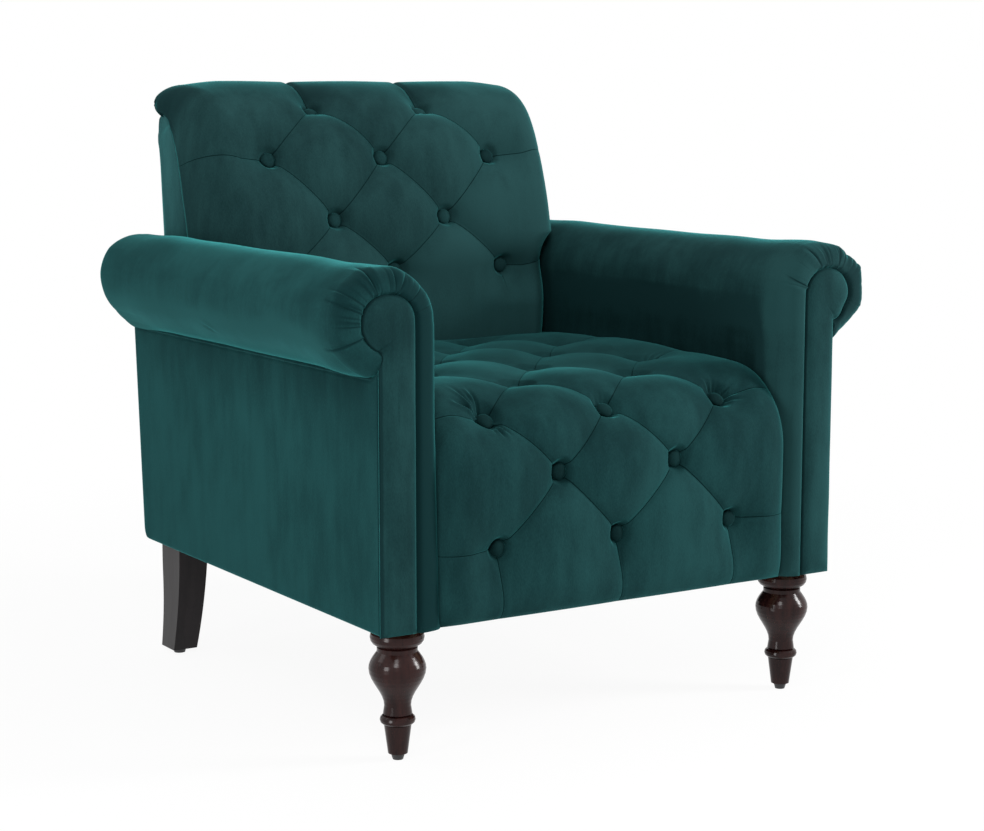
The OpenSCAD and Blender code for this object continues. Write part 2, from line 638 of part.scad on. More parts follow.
// Bores of the leg bolts and their inserts: which is 1 for the front pair, 2 for the rear pair
module leg_bores(which) {
  for (side = [-1, 1])
    translate(which == 1 ? [side * leg_span / 2, leg_y, 0] : [side * rear_leg_x, rear_leg_y, 0]) {
      translate([0, 0, rail_z - bolt_down - 2]) cylinder(d = bolt_d + fit, h = bolt_down + bolt_up + 4);
      translate([0, 0, rail_z - 1]) cylinder(d = bolt_d + 6, h = insert_h + 1 + fit);
    }
}
function ring_points(r, z, h, n) = [for (i = [0:n]) let (a = mix(-90, 90, i / n))
  [r - h / 2 + h / 2 * cos(a), z + h / 2 * sin(a)]];
module front_leg(side) {
  s = leg_h / 166;
  top = rail_z;
  disc_r = 33.5;
  profile = concat([[0, glide_h], [12.2, glide_h], [17, 44 * s]],
    ring_points(22, 50.5 * s, 12, 6),
    [[18, 58 * s]],
    [for (t = [0:0.125:1]) [mix(neck_r, bulb_r, (1 - cos(180 * t)) / 2), mix(68, 114.7, t) * s]],
    [for (t = [0.2:0.2:1]) [mix(25, bulb_r, cos(90 * t)), mix(114.7, 136, t) * s]],
    [[25, 141 * s]],
    ring_points(disc_r, top - 14, 22, 8),
    [[disc_r - 11, top], [0, top]]);
  color(espresso) translate([side * leg_span / 2, leg_y, 0]) difference() {
    rotate_extrude($fn = 96) polygon(profile);
    translate([0, 0, top - bolt_down - 1]) cylinder(d = bolt_d + fit, h = bolt_down + 2);
  }
}
// Side outline of a rear leg, which sweeps back towards the floor
function sabre(t) = 9 * pow(1 - t, 2.2) - 3 * sin(180 * clamp(t * 1.3));
module rear_leg(side) {
  steps = [0:0.1:1];
  h = rail_z - glide_h;
  rear = [for (t = steps) [rear_leg_y + rear_leg_d / 2 - 0.75 + sabre(t), glide_h + h * t]];
  front = [for (t = steps)
    [rear_leg_y - rear_leg_d / 2 - 0.75 + 0.445 * rear_leg_d * pow(1 - t, 2), glide_h + h * t]];
  outer = rear_leg_x + rear_leg_w / 2;
  color(espresso) on_side(side) difference() {
    intersection() {
      translate([outer - rear_leg_w, 0, 0]) rotate([90, 0, 90]) linear_extrude(rear_leg_w)
        polygon(concat(rear, reverse(front)));
      translate([0, chair_d / 2, 0]) rotate([90, 0, 0]) linear_extrude(chair_d)
        polygon([[outer, 0], [outer, rail_z], [outer - rear_leg_w, rail_z], [outer - rear_foot_w, 0]]);
    }
    translate([rear_leg_x, rear_leg_y, rail_z - bolt_down - 1]) cylinder(d = bolt_d + fit, h = bolt_down + 2);
  }
}
module front_glides() {
  color(black) for (side = [-1, 1]) translate([side * leg_span / 2, leg_y, 0])
    cylinder(r1 = 6.5, r2 = 9, h = glide_h);
}
rear_sweep = 16;
rear_foot_y = rear_leg_y + rear_sweep;
module rear_glides() {
  color(black) for (side = [-1, 1])
    translate([side * (rear_leg_x + rear_leg_w / 2 - rear_foot_w / 2), rear_foot_y, 0])
      cylinder(r1 = 8, r2 = 10, h = glide_h);
}
module hanger_bolts() {
  color(steel) for (side = [-1, 1], p = [[leg_span / 2, leg_y], [rear_leg_x, rear_leg_y]])
    translate([side * p[0], p[1], rail_z - bolt_down]) cylinder(d = bolt_d, h = bolt_down + bolt_up);
}
module threaded_inserts() {
  color(steel) for (side = [-1, 1], p = [[leg_span / 2, leg_y], [rear_leg_x, rear_leg_y]])
    translate([side * p[0], p[1], rail_z + fit]) difference() {
      cylinder(d = bolt_d + 5.4, h = insert_h - fit);
      translate([0, 0, -1]) cylinder(d = bolt_d + fit, h = insert_h + 2);
    }
}

seat_rail_front();
seat_rail_rear();
seat_rail_side(-1);  // seat_rail_left
seat_rail_side(1);  // seat_rail_right
corner_blocks();
arm_front_board(-1);  // arm_front_board_left
arm_front_board(1);  // arm_front_board_right
arm_rear_board(-1);  // arm_rear_board_left
arm_rear_board(1);  // arm_rear_board_right
arm_top_rail(-1);  // arm_top_rail_left
arm_top_rail(1);  // arm_top_rail_right
back_post(-1);  // back_post_left
back_post(1);  // back_post_right
back_top_rail();
back_lower_rail();
seat_springs();
spring_clips();
spring_cloth();
seat_foam();
seat_cover();
seat_buttons();
back_webbing();
back_foam();
back_cover();
back_buttons();
back_side_panel(-1);  // back_side_panel_left
back_side_panel(1);  // back_side_panel_right
back_outer_panel();
arm_pad(-1);  // arm_pad_left
arm_pad(1);  // arm_pad_right
arm_cover(-1);  // arm_cover_left
arm_cover(1);  // arm_cover_right
arm_outer_panel(-1);  // arm_outer_panel_left
arm_outer_panel(1);  // arm_outer_panel_right
arm_facing(-1);  // arm_facing_left
arm_facing(1);  // arm_facing_right
dust_cover();
front_leg(-1);  // front_leg_left
front_leg(1);  // front_leg_right
rear_leg(-1);  // rear_leg_left
rear_leg(1);  // rear_leg_right
front_glides();
rear_glides();
hanger_bolts();
threaded_inserts();
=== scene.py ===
import math
import bpy
import numpy as np
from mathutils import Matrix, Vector


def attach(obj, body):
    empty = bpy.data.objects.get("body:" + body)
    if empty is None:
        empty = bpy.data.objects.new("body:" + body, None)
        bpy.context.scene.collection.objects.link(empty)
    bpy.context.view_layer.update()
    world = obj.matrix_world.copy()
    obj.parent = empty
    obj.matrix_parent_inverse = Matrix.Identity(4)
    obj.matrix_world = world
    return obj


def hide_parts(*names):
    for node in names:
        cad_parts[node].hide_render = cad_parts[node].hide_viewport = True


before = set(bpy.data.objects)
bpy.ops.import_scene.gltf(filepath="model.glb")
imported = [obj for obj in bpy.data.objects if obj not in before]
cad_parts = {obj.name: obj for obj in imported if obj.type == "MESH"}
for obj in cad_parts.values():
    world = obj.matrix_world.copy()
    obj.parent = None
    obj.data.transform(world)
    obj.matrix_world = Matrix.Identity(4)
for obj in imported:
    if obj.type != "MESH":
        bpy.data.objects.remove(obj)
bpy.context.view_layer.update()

# Sizes below are in millimetres and repeat the values of the solids; meshes are scaled to metres.
MM = 0.001
CHAIR_D, CHAIR_H, LEG_H, BODY_W = 777.0, 822.0, 166.0, 690.0
LEAN = math.tan(math.radians(3.8))
SEAT_W, ROLL_R, ROLL_Z, FACING_R, ROLL_REAR_R = 536.0, 66.0, 541.0, 36.0, 20.0
SEAT_BULGE, SEAT_H, SEAT_PUFF = 13.0, 437.0, 26.0
SEAT_FRONT_R, SEAT_TOP_R = 89.0, 3774.0
SEAT_PITCH = SEAT_W / 3
BACK_W, BACK_D, BACK_FACE_R, BACK_TOP_R = 590.0, 220.0, 550.0, 130.0
SCROLL_R, BACK_PUFF, BACK_EDGE_R = 33.0, 31.0, 60.03
BACK_PITCH = 183.0
BACK_ROWS = np.array([104, 184, 280, 376.0])
BUTTON_D, BUTTON_H = 22.0, 5.8
# Exponent of a diamond's height, that fills it out
PLUMP = 0.72
PANEL_T, VELVET_T, FACING_T, GAP = 4.7, 5.0, 8.0, 0.3
# Radius of the panels' lower corners, and how far a button keeps the stuffing down
CORNER_R, BUTTON_REACH = 16.0, 9.5
# A seam distance that shows no seam
NO_SEAM = 50.0
SIDES = {-1: "left", 1: "right"}

FRONT_Y = -CHAIR_D / 2 + SEAT_BULGE
WALL_X, INNER_X = BODY_W / 2, SEAT_W / 2
ROLL_X, BORDER_R = INNER_X + ROLL_R, ROLL_R - FACING_R
SCROLL_Y, SCROLL_Z = CHAIR_D / 2 - SCROLL_R, CHAIR_H - SCROLL_R
REAR_Y = SCROLL_Y + 16 - (SCROLL_Z - 24 - LEG_H) * LEAN


def rear_at(z):
    """y of the rear face at a height."""
    return REAR_Y + (z - LEG_H) * LEAN


def mix(a, b, t):
    """From a at t = 0 to b at t = 1."""
    return a + (b - a) * t


def ease(t):
    """Smooth step from 0 at t = 0 to 1 at t = 1."""
    u = np.clip(t, 0, 1)
    return u * u * (3 - 2 * u)


def fades(v, start, length):
    """1 up to start, then smoothly down to 0 over length."""
    return 1 - ease((v - start) / length)


def bell(v, middle, width):
    """A soft bump of height 1 round middle."""
    return np.exp(-((v - middle) / width) ** 2)


def quarter_round(u):
    """Rise of a quarter circle, from 0 at u = 0 to 1 at u = 1."""
    return np.sqrt(1 - np.clip(1 - u, 0, 1) ** 2)


def table(v, pairs):
    """The value at v, from pairs of place and value."""
    return np.interp(v, *zip(*pairs))


# ---------------------------------------- meshes

def grid(x, y, z):
    """Points from coordinates of shapes that fit together."""
    return np.stack(np.broadcast_arrays(x, y, z), -1)


def loop_faces(rows, columns):
    """Quads between equal closed rings of points."""
    j = np.arange(columns)
    a = np.arange(rows - 1)[:, None] * columns + j
    b = np.arange(rows - 1)[:, None] * columns + (j + 1) % columns
    return np.stack([a, b, b + columns, a + columns], -1).reshape(-1, 4)


def signed_volume(points, faces):
    """Six times the volume inside the faces, below 0 where they face inwards."""
    total = 0.0
    for f in faces:
        f = np.asarray(f)
        for k in range(1, f.shape[-1] - 1):
            a, b, c = points[f[..., 0]], points[f[..., k]], points[f[..., k + 1]]
            total += float(np.sum(a * np.cross(b, c)))
    return total


def new_object(name, data):
    made = bpy.data.objects.new(name, data)
    bpy.context.scene.collection.objects.link(made)
    return made


def new_piece(name, points, quads, caps=(), values=None):
    """A smooth mesh object from points in mm, quads and end polygons, turned outside out."""
    points = np.asarray(points, float).reshape(-1, 3)
    groups = [np.asarray(quads)] + [np.asarray(c)[None] for c in caps]
    flip = signed_volume(points, groups) < 0
    faces = [list(map(int, f[::-1] if flip else f)) for g in groups for f in g]
    mesh = bpy.data.meshes.new(name)
    mesh.from_pydata((points * MM).tolist(), [], faces)
    mesh.shade_smooth()
    for key, data in (values or {}).items():
        layer = mesh.attributes.new(key, "FLOAT", "POINT")
        layer.data.foreach_set("value", np.asarray(data, np.float32).ravel())
    return new_object(name, mesh)


def loft(name, rings, values=None):
    """A closed solid through equal closed rings, with a polygon at each end."""
    rows, columns = rings.shape[:2]
    last = (rows - 1) * columns
    caps = [range(columns), [last + i for i in range(columns)][::-1]]
    return new_piece(name, rings, loop_faces(rows, columns)[:, ::-1], caps, values)


def two_skins(outer, inner, side=1):
    """Rings round a cover from its outer and inner face, mirrored for the left side."""
    return np.concatenate([outer, inner[:, ::-1]], 1) * np.array([side, 1, 1])


def dress(piece, material, nodes=()):
    """Gives a piece its material, slot, body and the solids that it stands for."""
    piece.data.materials.append(material)
    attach(piece, "root")
    if nodes:
        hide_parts(*nodes)
    return piece


# ---------------------------------------- materials

def add_node(tree, kind, **inputs):
    n = tree.nodes.new(kind)
    for key, v in inputs.items():
        n.inputs[key.replace("_", " ")].default_value = v
    return n


def math_node(tree, operation, a, b=None):
    n = tree.nodes.new("ShaderNodeMath")
    n.operation = operation
    for i, v in enumerate([a, b]):
        if v is None:
            continue
        if isinstance(v, (int, float)):
            n.inputs[i].default_value = v
        else:
            tree.links.new(v, n.inputs[i])
    return n.outputs[0]


def map_range(tree, value, a, b, c=0.0, d=1.0):
    n = tree.nodes.new("ShaderNodeMapRange")
    n.interpolation_type = "SMOOTHSTEP"
    for i, v in enumerate([a, b, c, d]):
        n.inputs[i + 1].default_value = v
    tree.links.new(value, n.inputs[0])
    return n.outputs[0]


def noise(tree, coords, scale, detail=2.0, stretch=(1, 1, 1), roughness=0.5, turn=(0, 0, 0)):
    m = tree.nodes.new("ShaderNodeMapping")
    m.inputs["Scale"].default_value = stretch
    m.inputs["Rotation"].default_value = [math.radians(a) for a in turn]
    tree.links.new(coords, m.inputs["Vector"])
    n = add_node(tree, "ShaderNodeTexNoise", Scale=scale, Detail=detail, Roughness=roughness)
    tree.links.new(m.outputs[0], n.inputs["Vector"])
    return n.outputs[0]


def colour_mix(tree, factor, a, b):
    n = tree.nodes.new("ShaderNodeMix")
    n.data_type = "RGBA"
    tree.links.new(factor, n.inputs[0])
    for i, v in ((6, a), (7, b)):
        if isinstance(v, (tuple, list)):
            n.inputs[i].default_value = (*v, 1.0)
        else:
            tree.links.new(v, n.inputs[i])
    return n.outputs[2]


def shader(name):
    material = bpy.data.materials.new(name)
    material.use_nodes = True
    tree = material.node_tree
    return material, tree, tree.nodes["Principled BSDF"]


def object_coords(tree):
    return tree.nodes.new("ShaderNodeTexCoord").outputs["Object"]


def attribute(tree, name):
    n = tree.nodes.new("ShaderNodeAttribute")
    n.attribute_name = name
    return n.outputs["Fac"]


def relief(tree, bsdf, height, strength, depth):
    """Bumps in the surface from a height, depth in metres."""
    bump = add_node(tree, "ShaderNodeBump", Strength=strength, Distance=depth)
    tree.links.new(height, bump.inputs["Height"])
    tree.links.new(bump.outputs[0], bsdf.inputs["Normal"])


def set_inputs(bsdf, values):
    for key, v in values.items():
        bsdf.inputs[key].default_value = v


def tinted(tone, factor, red=1.0):
    return tuple(factor * c * k for c, k in zip(tone, (red, 1, 1)))


# Deep and lit tones of the velvet, mixed by random patches and by painted light and shade
VELVET_DEEP = (0.0060, 0.0210, 0.0226)
VELVET_LIT = (0.0138, 0.0490, 0.0505)
VELVET_SHEEN = (0.045, 0.30, 0.30)
VELVET_SEAM = (0.0012, 0.0075, 0.0078)
# Shares of the brushed patches, the streaks and the pile in how light the velvet is
CLOUD, STREAK, PILE = 0.58, 0.24, 0.18


def velvet(name, brush=(1.0, 1.0, 0.4), turn=(0, 0, 0), lines=True, nap=1.0, red=1.0, sheen=1.0,
           cloud=CLOUD):
    """Cut velvet: deep pile, nap brushed in patches, hairline seams where lines is set.

    brush and turn are the stretch and direction of the patches. The colour factor and red are factors
    on the colour and on its red; the colour factor lightens or darkens a whole copy as painted light or
    shade, and the mesh's own attribute of painted light adds painted light and painted shade in places.
    """
    material, tree, bsdf = shader(name)
    coords = object_coords(tree)
    patches = noise(tree, coords, 7.0, 4.0, brush, 0.62, turn)
    streaks = noise(tree, coords, 38.0, 3.0, (1.0, 1.0, 0.25), 0.6, turn)
    pile = noise(tree, coords, 620.0, 2.0, (1.0, 1.0, 0.45), 0.7)
    level = math_node(tree, "ADD", math_node(tree, "MULTIPLY", patches, cloud),
                      math_node(tree, "MULTIPLY", streaks, STREAK))
    level = math_node(tree, "ADD", level, math_node(tree, "MULTIPLY", pile, PILE))
    level = math_node(tree, "ADD", level, 0.5 * (CLOUD - cloud))
    # The mesh's attribute of painted light and shade lightens or darkens the colour
    level = math_node(tree, "ADD", level, attribute(tree, "nap"))
    deep, lit = tinted(VELVET_DEEP, nap, red), tinted(VELVET_LIT, nap, red)
    colour = colour_mix(tree, map_range(tree, level, 0.36, 0.64), deep, lit)
    # Strong painted light goes past the lit tone, and strong painted shade past the deep tone
    colour = colour_mix(tree, map_range(tree, level, 0.72, 1.12), colour, tinted(lit, 1.8))
    colour = colour_mix(tree, map_range(tree, level, 0.02, 0.2, 1.0, 0.0), colour, tinted(deep, 0.45))
    height = math_node(tree, "MULTIPLY", pile, 0.35)
    if lines:
        sides = [math_node(tree, "ABSOLUTE", attribute(tree, key)) for key in ("seam_a", "seam_b")]
        near = math_node(tree, "MINIMUM", *sides)
        line = math_node(tree, "MULTIPLY", map_range(tree, near, 0.35, 1.0, 1.0, 0.0),
                         attribute(tree, "seam_on"))
        colour = colour_mix(tree, math_node(tree, "MULTIPLY", line, 0.85), colour, VELVET_SEAM)
        height = math_node(tree, "SUBTRACT", height, math_node(tree, "MULTIPLY", line, 1.6))
    tree.links.new(colour, bsdf.inputs["Base Color"])
    relief(tree, bsdf, height, 0.55, 0.0008)
    set_inputs(bsdf, {"Roughness": 0.82, "Specular IOR Level": 0.05,
                      "Specular Tint": (0.15, 0.75, 0.78, 1.0), "Sheen Weight": sheen,
                      "Sheen Roughness": 0.32, "Sheen Tint": (*VELVET_SHEEN, 1.0)})
    return material


def polished_wood(name, dark, warm, gloss, coat, shine, depth):
    """Stained hardwood under lacquer, with fine grain along the leg."""
    material, tree, bsdf = shader(name)
    coords = object_coords(tree)
    grain = noise(tree, coords, 90.0, 6.0, (1.0, 1.0, 0.09), 0.65)
    pores = noise(tree, coords, 420.0, 2.0, (1.0, 1.0, 0.05), 0.6)
    cloud = noise(tree, coords, 12.0, 3.0, (1.0, 1.0, 0.5), 0.5)
    level = math_node(tree, "ADD", math_node(tree, "MULTIPLY", grain, 0.6),
                      math_node(tree, "MULTIPLY", cloud, 0.4))
    colour = colour_mix(tree, map_range(tree, level, 0.36, 0.64), dark, warm)
    colour = colour_mix(tree, map_range(tree, pores, 0.60, 0.72, 0.0, 0.45), colour,
                        tinted(dark, 0.35))
    tree.links.new(colour, bsdf.inputs["Base Color"])
    rough = map_range(tree, level, 0.3, 0.7, gloss * 0.85, gloss * 1.25)
    tree.links.new(rough, bsdf.inputs["Roughness"])
    relief(tree, bsdf, grain, 0.12, depth)
    set_inputs(bsdf, {"Coat Weight": coat, "Coat Roughness": 0.15, "Coat IOR": 1.2,
                      "Specular IOR Level": shine})
    return material


def plain_noise(name, a, b, scale, roughness, bump_scale, bump_depth, metallic=0.0,
                stretch=(1, 1, 1)):
    """Two close tones with a fine relief, for the glides and the pieces inside."""
    material, tree, bsdf = shader(name)
    coords = object_coords(tree)
    tones = noise(tree, coords, scale, 4.0, stretch)
    colour = colour_mix(tree, map_range(tree, tones, 0.35, 0.65), a, b)
    tree.links.new(colour, bsdf.inputs["Base Color"])
    relief(tree, bsdf, noise(tree, coords, bump_scale, 2.0, stretch), 0.4, bump_depth)
    set_inputs(bsdf, {"Roughness": roughness, "Metallic": metallic})
    return material


ROLL_BRUSH, ROLL_TURN = (0.8, 0.35, 1.0), (0, 0, 25)
seat_velvet = velvet("velvet_seat", red=0.84, sheen=0.7, cloud=0.38)
# The back's red is raised to grey it, as painted reflection
back_velvet = velvet("velvet_back", red=1.08, sheen=0.8, cloud=0.3)
roll_velvet = {-1: velvet("velvet_roll_left", ROLL_BRUSH, ROLL_TURN, lines=False, red=0.80),
               1: velvet("velvet_roll_right", ROLL_BRUSH, ROLL_TURN, lines=False, red=1.02)}
plain_velvet = velvet("velvet_plain", (1.0, 0.7, 0.45), (12, 0, 0), lines=False, red=0.95)
wall_velvet = velvet("velvet_wall", (1.0, 0.7, 0.45), (12, 0, 0), lines=False, red=0.74, cloud=0.44)
# The side panels' copy is lit to nearly twice the colour, as painted light
side_velvet = velvet("velvet_side", (1.0, 0.7, 0.3), (-8, 0, 0), lines=False, nap=1.85)
# The buttons' copies are darker, as painted shade in their dimples
button_velvet = {"seat": velvet("velvet_seat_button", lines=False, nap=0.5, red=0.9, sheen=0.55),
                 "back": velvet("velvet_back_button", lines=False, nap=0.85, sheen=0.65)}
turned_wood = polished_wood("wood_turned", (0.0085, 0.0028, 0.0026), (0.024, 0.0075, 0.0066),
                            gloss=0.17, coat=0.0, shine=0.2, depth=0.00015)
square_wood = polished_wood("wood_square", (0.0075, 0.0062, 0.0070), (0.014, 0.0115, 0.0125),
                            gloss=0.42, coat=0.45, shine=0.12, depth=0.0004)
plastic = plain_noise("plastic_glide", (0.010, 0.010, 0.011), (0.016, 0.016, 0.017), 60, 0.42,
                      700, 0.0002)
timber = plain_noise("timber_frame", (0.50, 0.33, 0.17), (0.62, 0.43, 0.24), 14, 0.65, 160, 0.0006,
                     stretch=(1, 1, 0.2))
foam = plain_noise("foam_pad", (0.78, 0.70, 0.45), (0.85, 0.78, 0.55), 25, 0.9, 600, 0.0012)
steel = plain_noise("steel_zinc", (0.42, 0.43, 0.44), (0.55, 0.56, 0.57), 80, 0.34, 500, 0.0002, 1.0)
black_cloth = plain_noise("cloth_black", (0.011, 0.011, 0.012), (0.020, 0.020, 0.021), 120, 0.92,
                          900, 0.0008)
strap = plain_noise("webbing_jute", (0.16, 0.10, 0.055), (0.24, 0.16, 0.09), 200, 0.9, 800, 0.001)

NODE_MATERIALS = {"velvet": plain_velvet, "frame_timber": timber, "steel": steel,
                  "black_cloth": black_cloth, "webbing": strap, "foam": foam,
                  "leg_wood": turned_wood, "glide_plastic": plastic}


# ---------------------------------------- tufts

def tufts(x, s, rows, pitch, low_run, high_run, side_run, ends, soft=0.02):
    """Height 0 at the buttons to 1 on the crowns of a diamond-tufted cover, and its seams.

    x runs across and s along the cover, and soft rounds the valleys. Seams are signed distances in
    mm, zero on a seam.
    """
    quarter = math.pi / 2
    c = np.abs(x) / pitch * 2
    r = np.interp(s, rows, np.arange(1, len(rows) + 1))
    gap = np.interp(s, (rows[1:] + rows[:-1]) / 2, np.diff(rows))
    cc = np.minimum(c, 2)
    a, b = np.cos(quarter * (cc + r)), np.cos(quarter * (cc - r))
    rounded = lambda v: (np.hypot(v, soft) - soft) / (np.hypot(1, soft) - soft)
    full = lambda v: rounded(v) * (1.5 - 0.5 * rounded(v))
    k = (full(a) + full(b)) / 2
    low = ends[0] * ease((rows[0] - s) / low_run)
    high = ends[1] * ease((s - rows[-1]) / high_run)
    side = ends[2] * ease((np.abs(x) - pitch) / side_run)
    k = 1 - (1 - k) * (1 - low) * (1 - high) * (1 - side)
    lower, beside = s < rows[0], c > 2
    reach = 1 / np.hypot(2 / pitch, 1 / gap)
    across, along = np.sin(quarter * c) * pitch / 2, -np.cos(quarter * r) * gap
    seam_a = np.where(lower, -across, np.where(beside, along, a * reach))
    seam_b = np.where(lower, np.where(beside, (s - rows[0]) * quarter, across),
                      np.where(beside, along, b * reach))
    return k, seam_a / quarter, seam_b / quarter


def button_places(rows, pitch):
    return [(c * pitch / 2, s) for k, s in enumerate(rows)
            for c in ((-2, 0, 2) if k % 2 == 0 else (-1, 1))]


def near_buttons(x, s, rows, pitch):
    """Distance along the cover to the nearest button."""
    best = np.full(np.broadcast(x, s).shape, 1e9)
    for bx, bs in button_places(rows, pitch):
        best = np.minimum(best, np.hypot(x - bx, s - bs))
    return best


# Gathers at the end buttons of some rows, by row and side: direction and spread in degrees, number,
# length and depth in mm
SEAT_FANS = {(2, -1): [(122, 19, 4, 60, 5.6), (-68, 22, 4, 40, 5.0)],
             (2, 1): [(0, 24, 3, 46, 4.0), (80, 22, 3, 34, 3.0)],
             (4, -1): [(130, 17, 4, 54, 4.6)],
             (4, 1): [(15, 20, 3, 44, 2.6)],
             (6, -1): [(120, 14, 3, 44, 2.4)]}


def gathers(x, s, rows, pitch, strength, fans, seed):
    """Fine folds that run out from the buttons, in mm, by the row and side that each button is in."""
    rng = np.random.default_rng(seed)
    out = np.zeros(np.broadcast(x, s).shape)
    for bx, bs in button_places(rows, pitch):
        row = int(np.argmin(np.abs(rows - bs)))
        end_side = int(np.sign(bx)) if abs(bx) > pitch / 2 + 1 else 0
        plain = [(90, 26, 3, 30, 0.9 * strength[row]), (-90, 30, 3, 26, 0.8 * strength[row])]
        rho, theta = np.hypot(x - bx, s - bs), np.arctan2(s - bs, x - bx)
        spread = 12 + 0.6 * (rho - 12)
        for middle, half, count, length, depth in fans.get((row, end_side), plain):
            turns = middle + np.linspace(-half, half, count) + rng.uniform(-3, 3, count)
            for turn in np.radians(turns):
                run, deep = length * rng.uniform(0.7, 1.05), depth * rng.uniform(0.7, 1.1)
                bend = rng.uniform(-0.15, 0.15)
                if strength[row] == 0:
                    continue
                off = (theta - turn - bend * rho / 40 + math.pi) % (2 * math.pi) - math.pi
                across = off * spread
                window = ease((rho - 8) / 5) * fades(rho, 0.35 * run, 0.65 * run)
                width = 1.4 + rho * 0.016
                fold = 0.7 * bell(across, 2.1 * width, width) - bell(across, 0, width)
                out += np.where(np.abs(off) < 1.0, deep * fold * window, 0)
    return out


def lumps(u, v, size, seed):
    """Slow unevenness of hand-stuffed upholstery, about -1 to 1."""
    rng = np.random.default_rng(seed)
    out = 0
    for _ in range(7):
        turn, phase = rng.uniform(0, 2 * math.pi, 2)
        k = rng.uniform(0.6, 1.6) * 2 * math.pi / size
        out = out + np.sin(k * (u * math.cos(turn) + v * math.sin(turn)) + phase)
    return out / 3.5


def groove(seam_a, seam_b, width):
    """1 on a seam, down to 0 beside it."""
    return bell(np.minimum(np.abs(seam_a), np.abs(seam_b)), 0, width)


# ---------------------------------------- seat

SEAT_FOOT_Y = FRONT_Y - SEAT_BULGE + SEAT_PUFF
LUMBAR_Y = CHAIR_D / 2 - BACK_D
SEAT_CREST_Y = mix(FRONT_Y, LUMBAR_Y, 0.581)
SEAT_BEND_Y = SEAT_FOOT_Y + SEAT_FRONT_R
SEAT_PHI = math.asin((SEAT_CREST_Y - SEAT_BEND_Y) / (SEAT_TOP_R - SEAT_FRONT_R))
SEAT_CENTRE_Z = SEAT_H - SEAT_TOP_R
SEAT_BEND_Z = SEAT_CENTRE_Z + (SEAT_TOP_R - SEAT_FRONT_R) * math.cos(SEAT_PHI)
SEAT_UP = SEAT_BEND_Z - LEG_H
SEAT_ROUND = SEAT_FRONT_R * (math.pi / 2 - SEAT_PHI)
SEAT_END = SEAT_UP + SEAT_ROUND + (LUMBAR_Y + 60 - SEAT_BEND_Y)
SEAT_HALF = INNER_X - 1.0
SEAT_ROWS = np.concatenate([[89, 176, 249.5], np.linspace(323, SEAT_END - 101, 5)])
SEAT_EDGE_R, SEAT_TAIL = 42.0, 14.0


def seat_curve(s):
    """y, z and the normal's y, z of the seat's side curve at its dimples."""
    a = math.pi - np.clip(s - SEAT_UP, 0, SEAT_ROUND) / SEAT_FRONT_R
    b = (s - SEAT_UP - SEAT_ROUND) / SEAT_TOP_R - SEAT_PHI
    front, top = s < SEAT_UP, s >= SEAT_UP + SEAT_ROUND
    pick = lambda f, m, t: np.where(front, f, np.where(top, t, m))
    return (pick(SEAT_FOOT_Y, SEAT_BEND_Y + SEAT_FRONT_R * np.cos(a),
                 SEAT_CREST_Y + SEAT_TOP_R * np.sin(b)),
            pick(LEG_H + s, SEAT_BEND_Z + SEAT_FRONT_R * np.sin(a),
                 SEAT_CENTRE_Z + SEAT_TOP_R * np.cos(b)),
            pick(-1, np.cos(a), np.sin(b)), pick(0, np.sin(a), np.cos(b)))


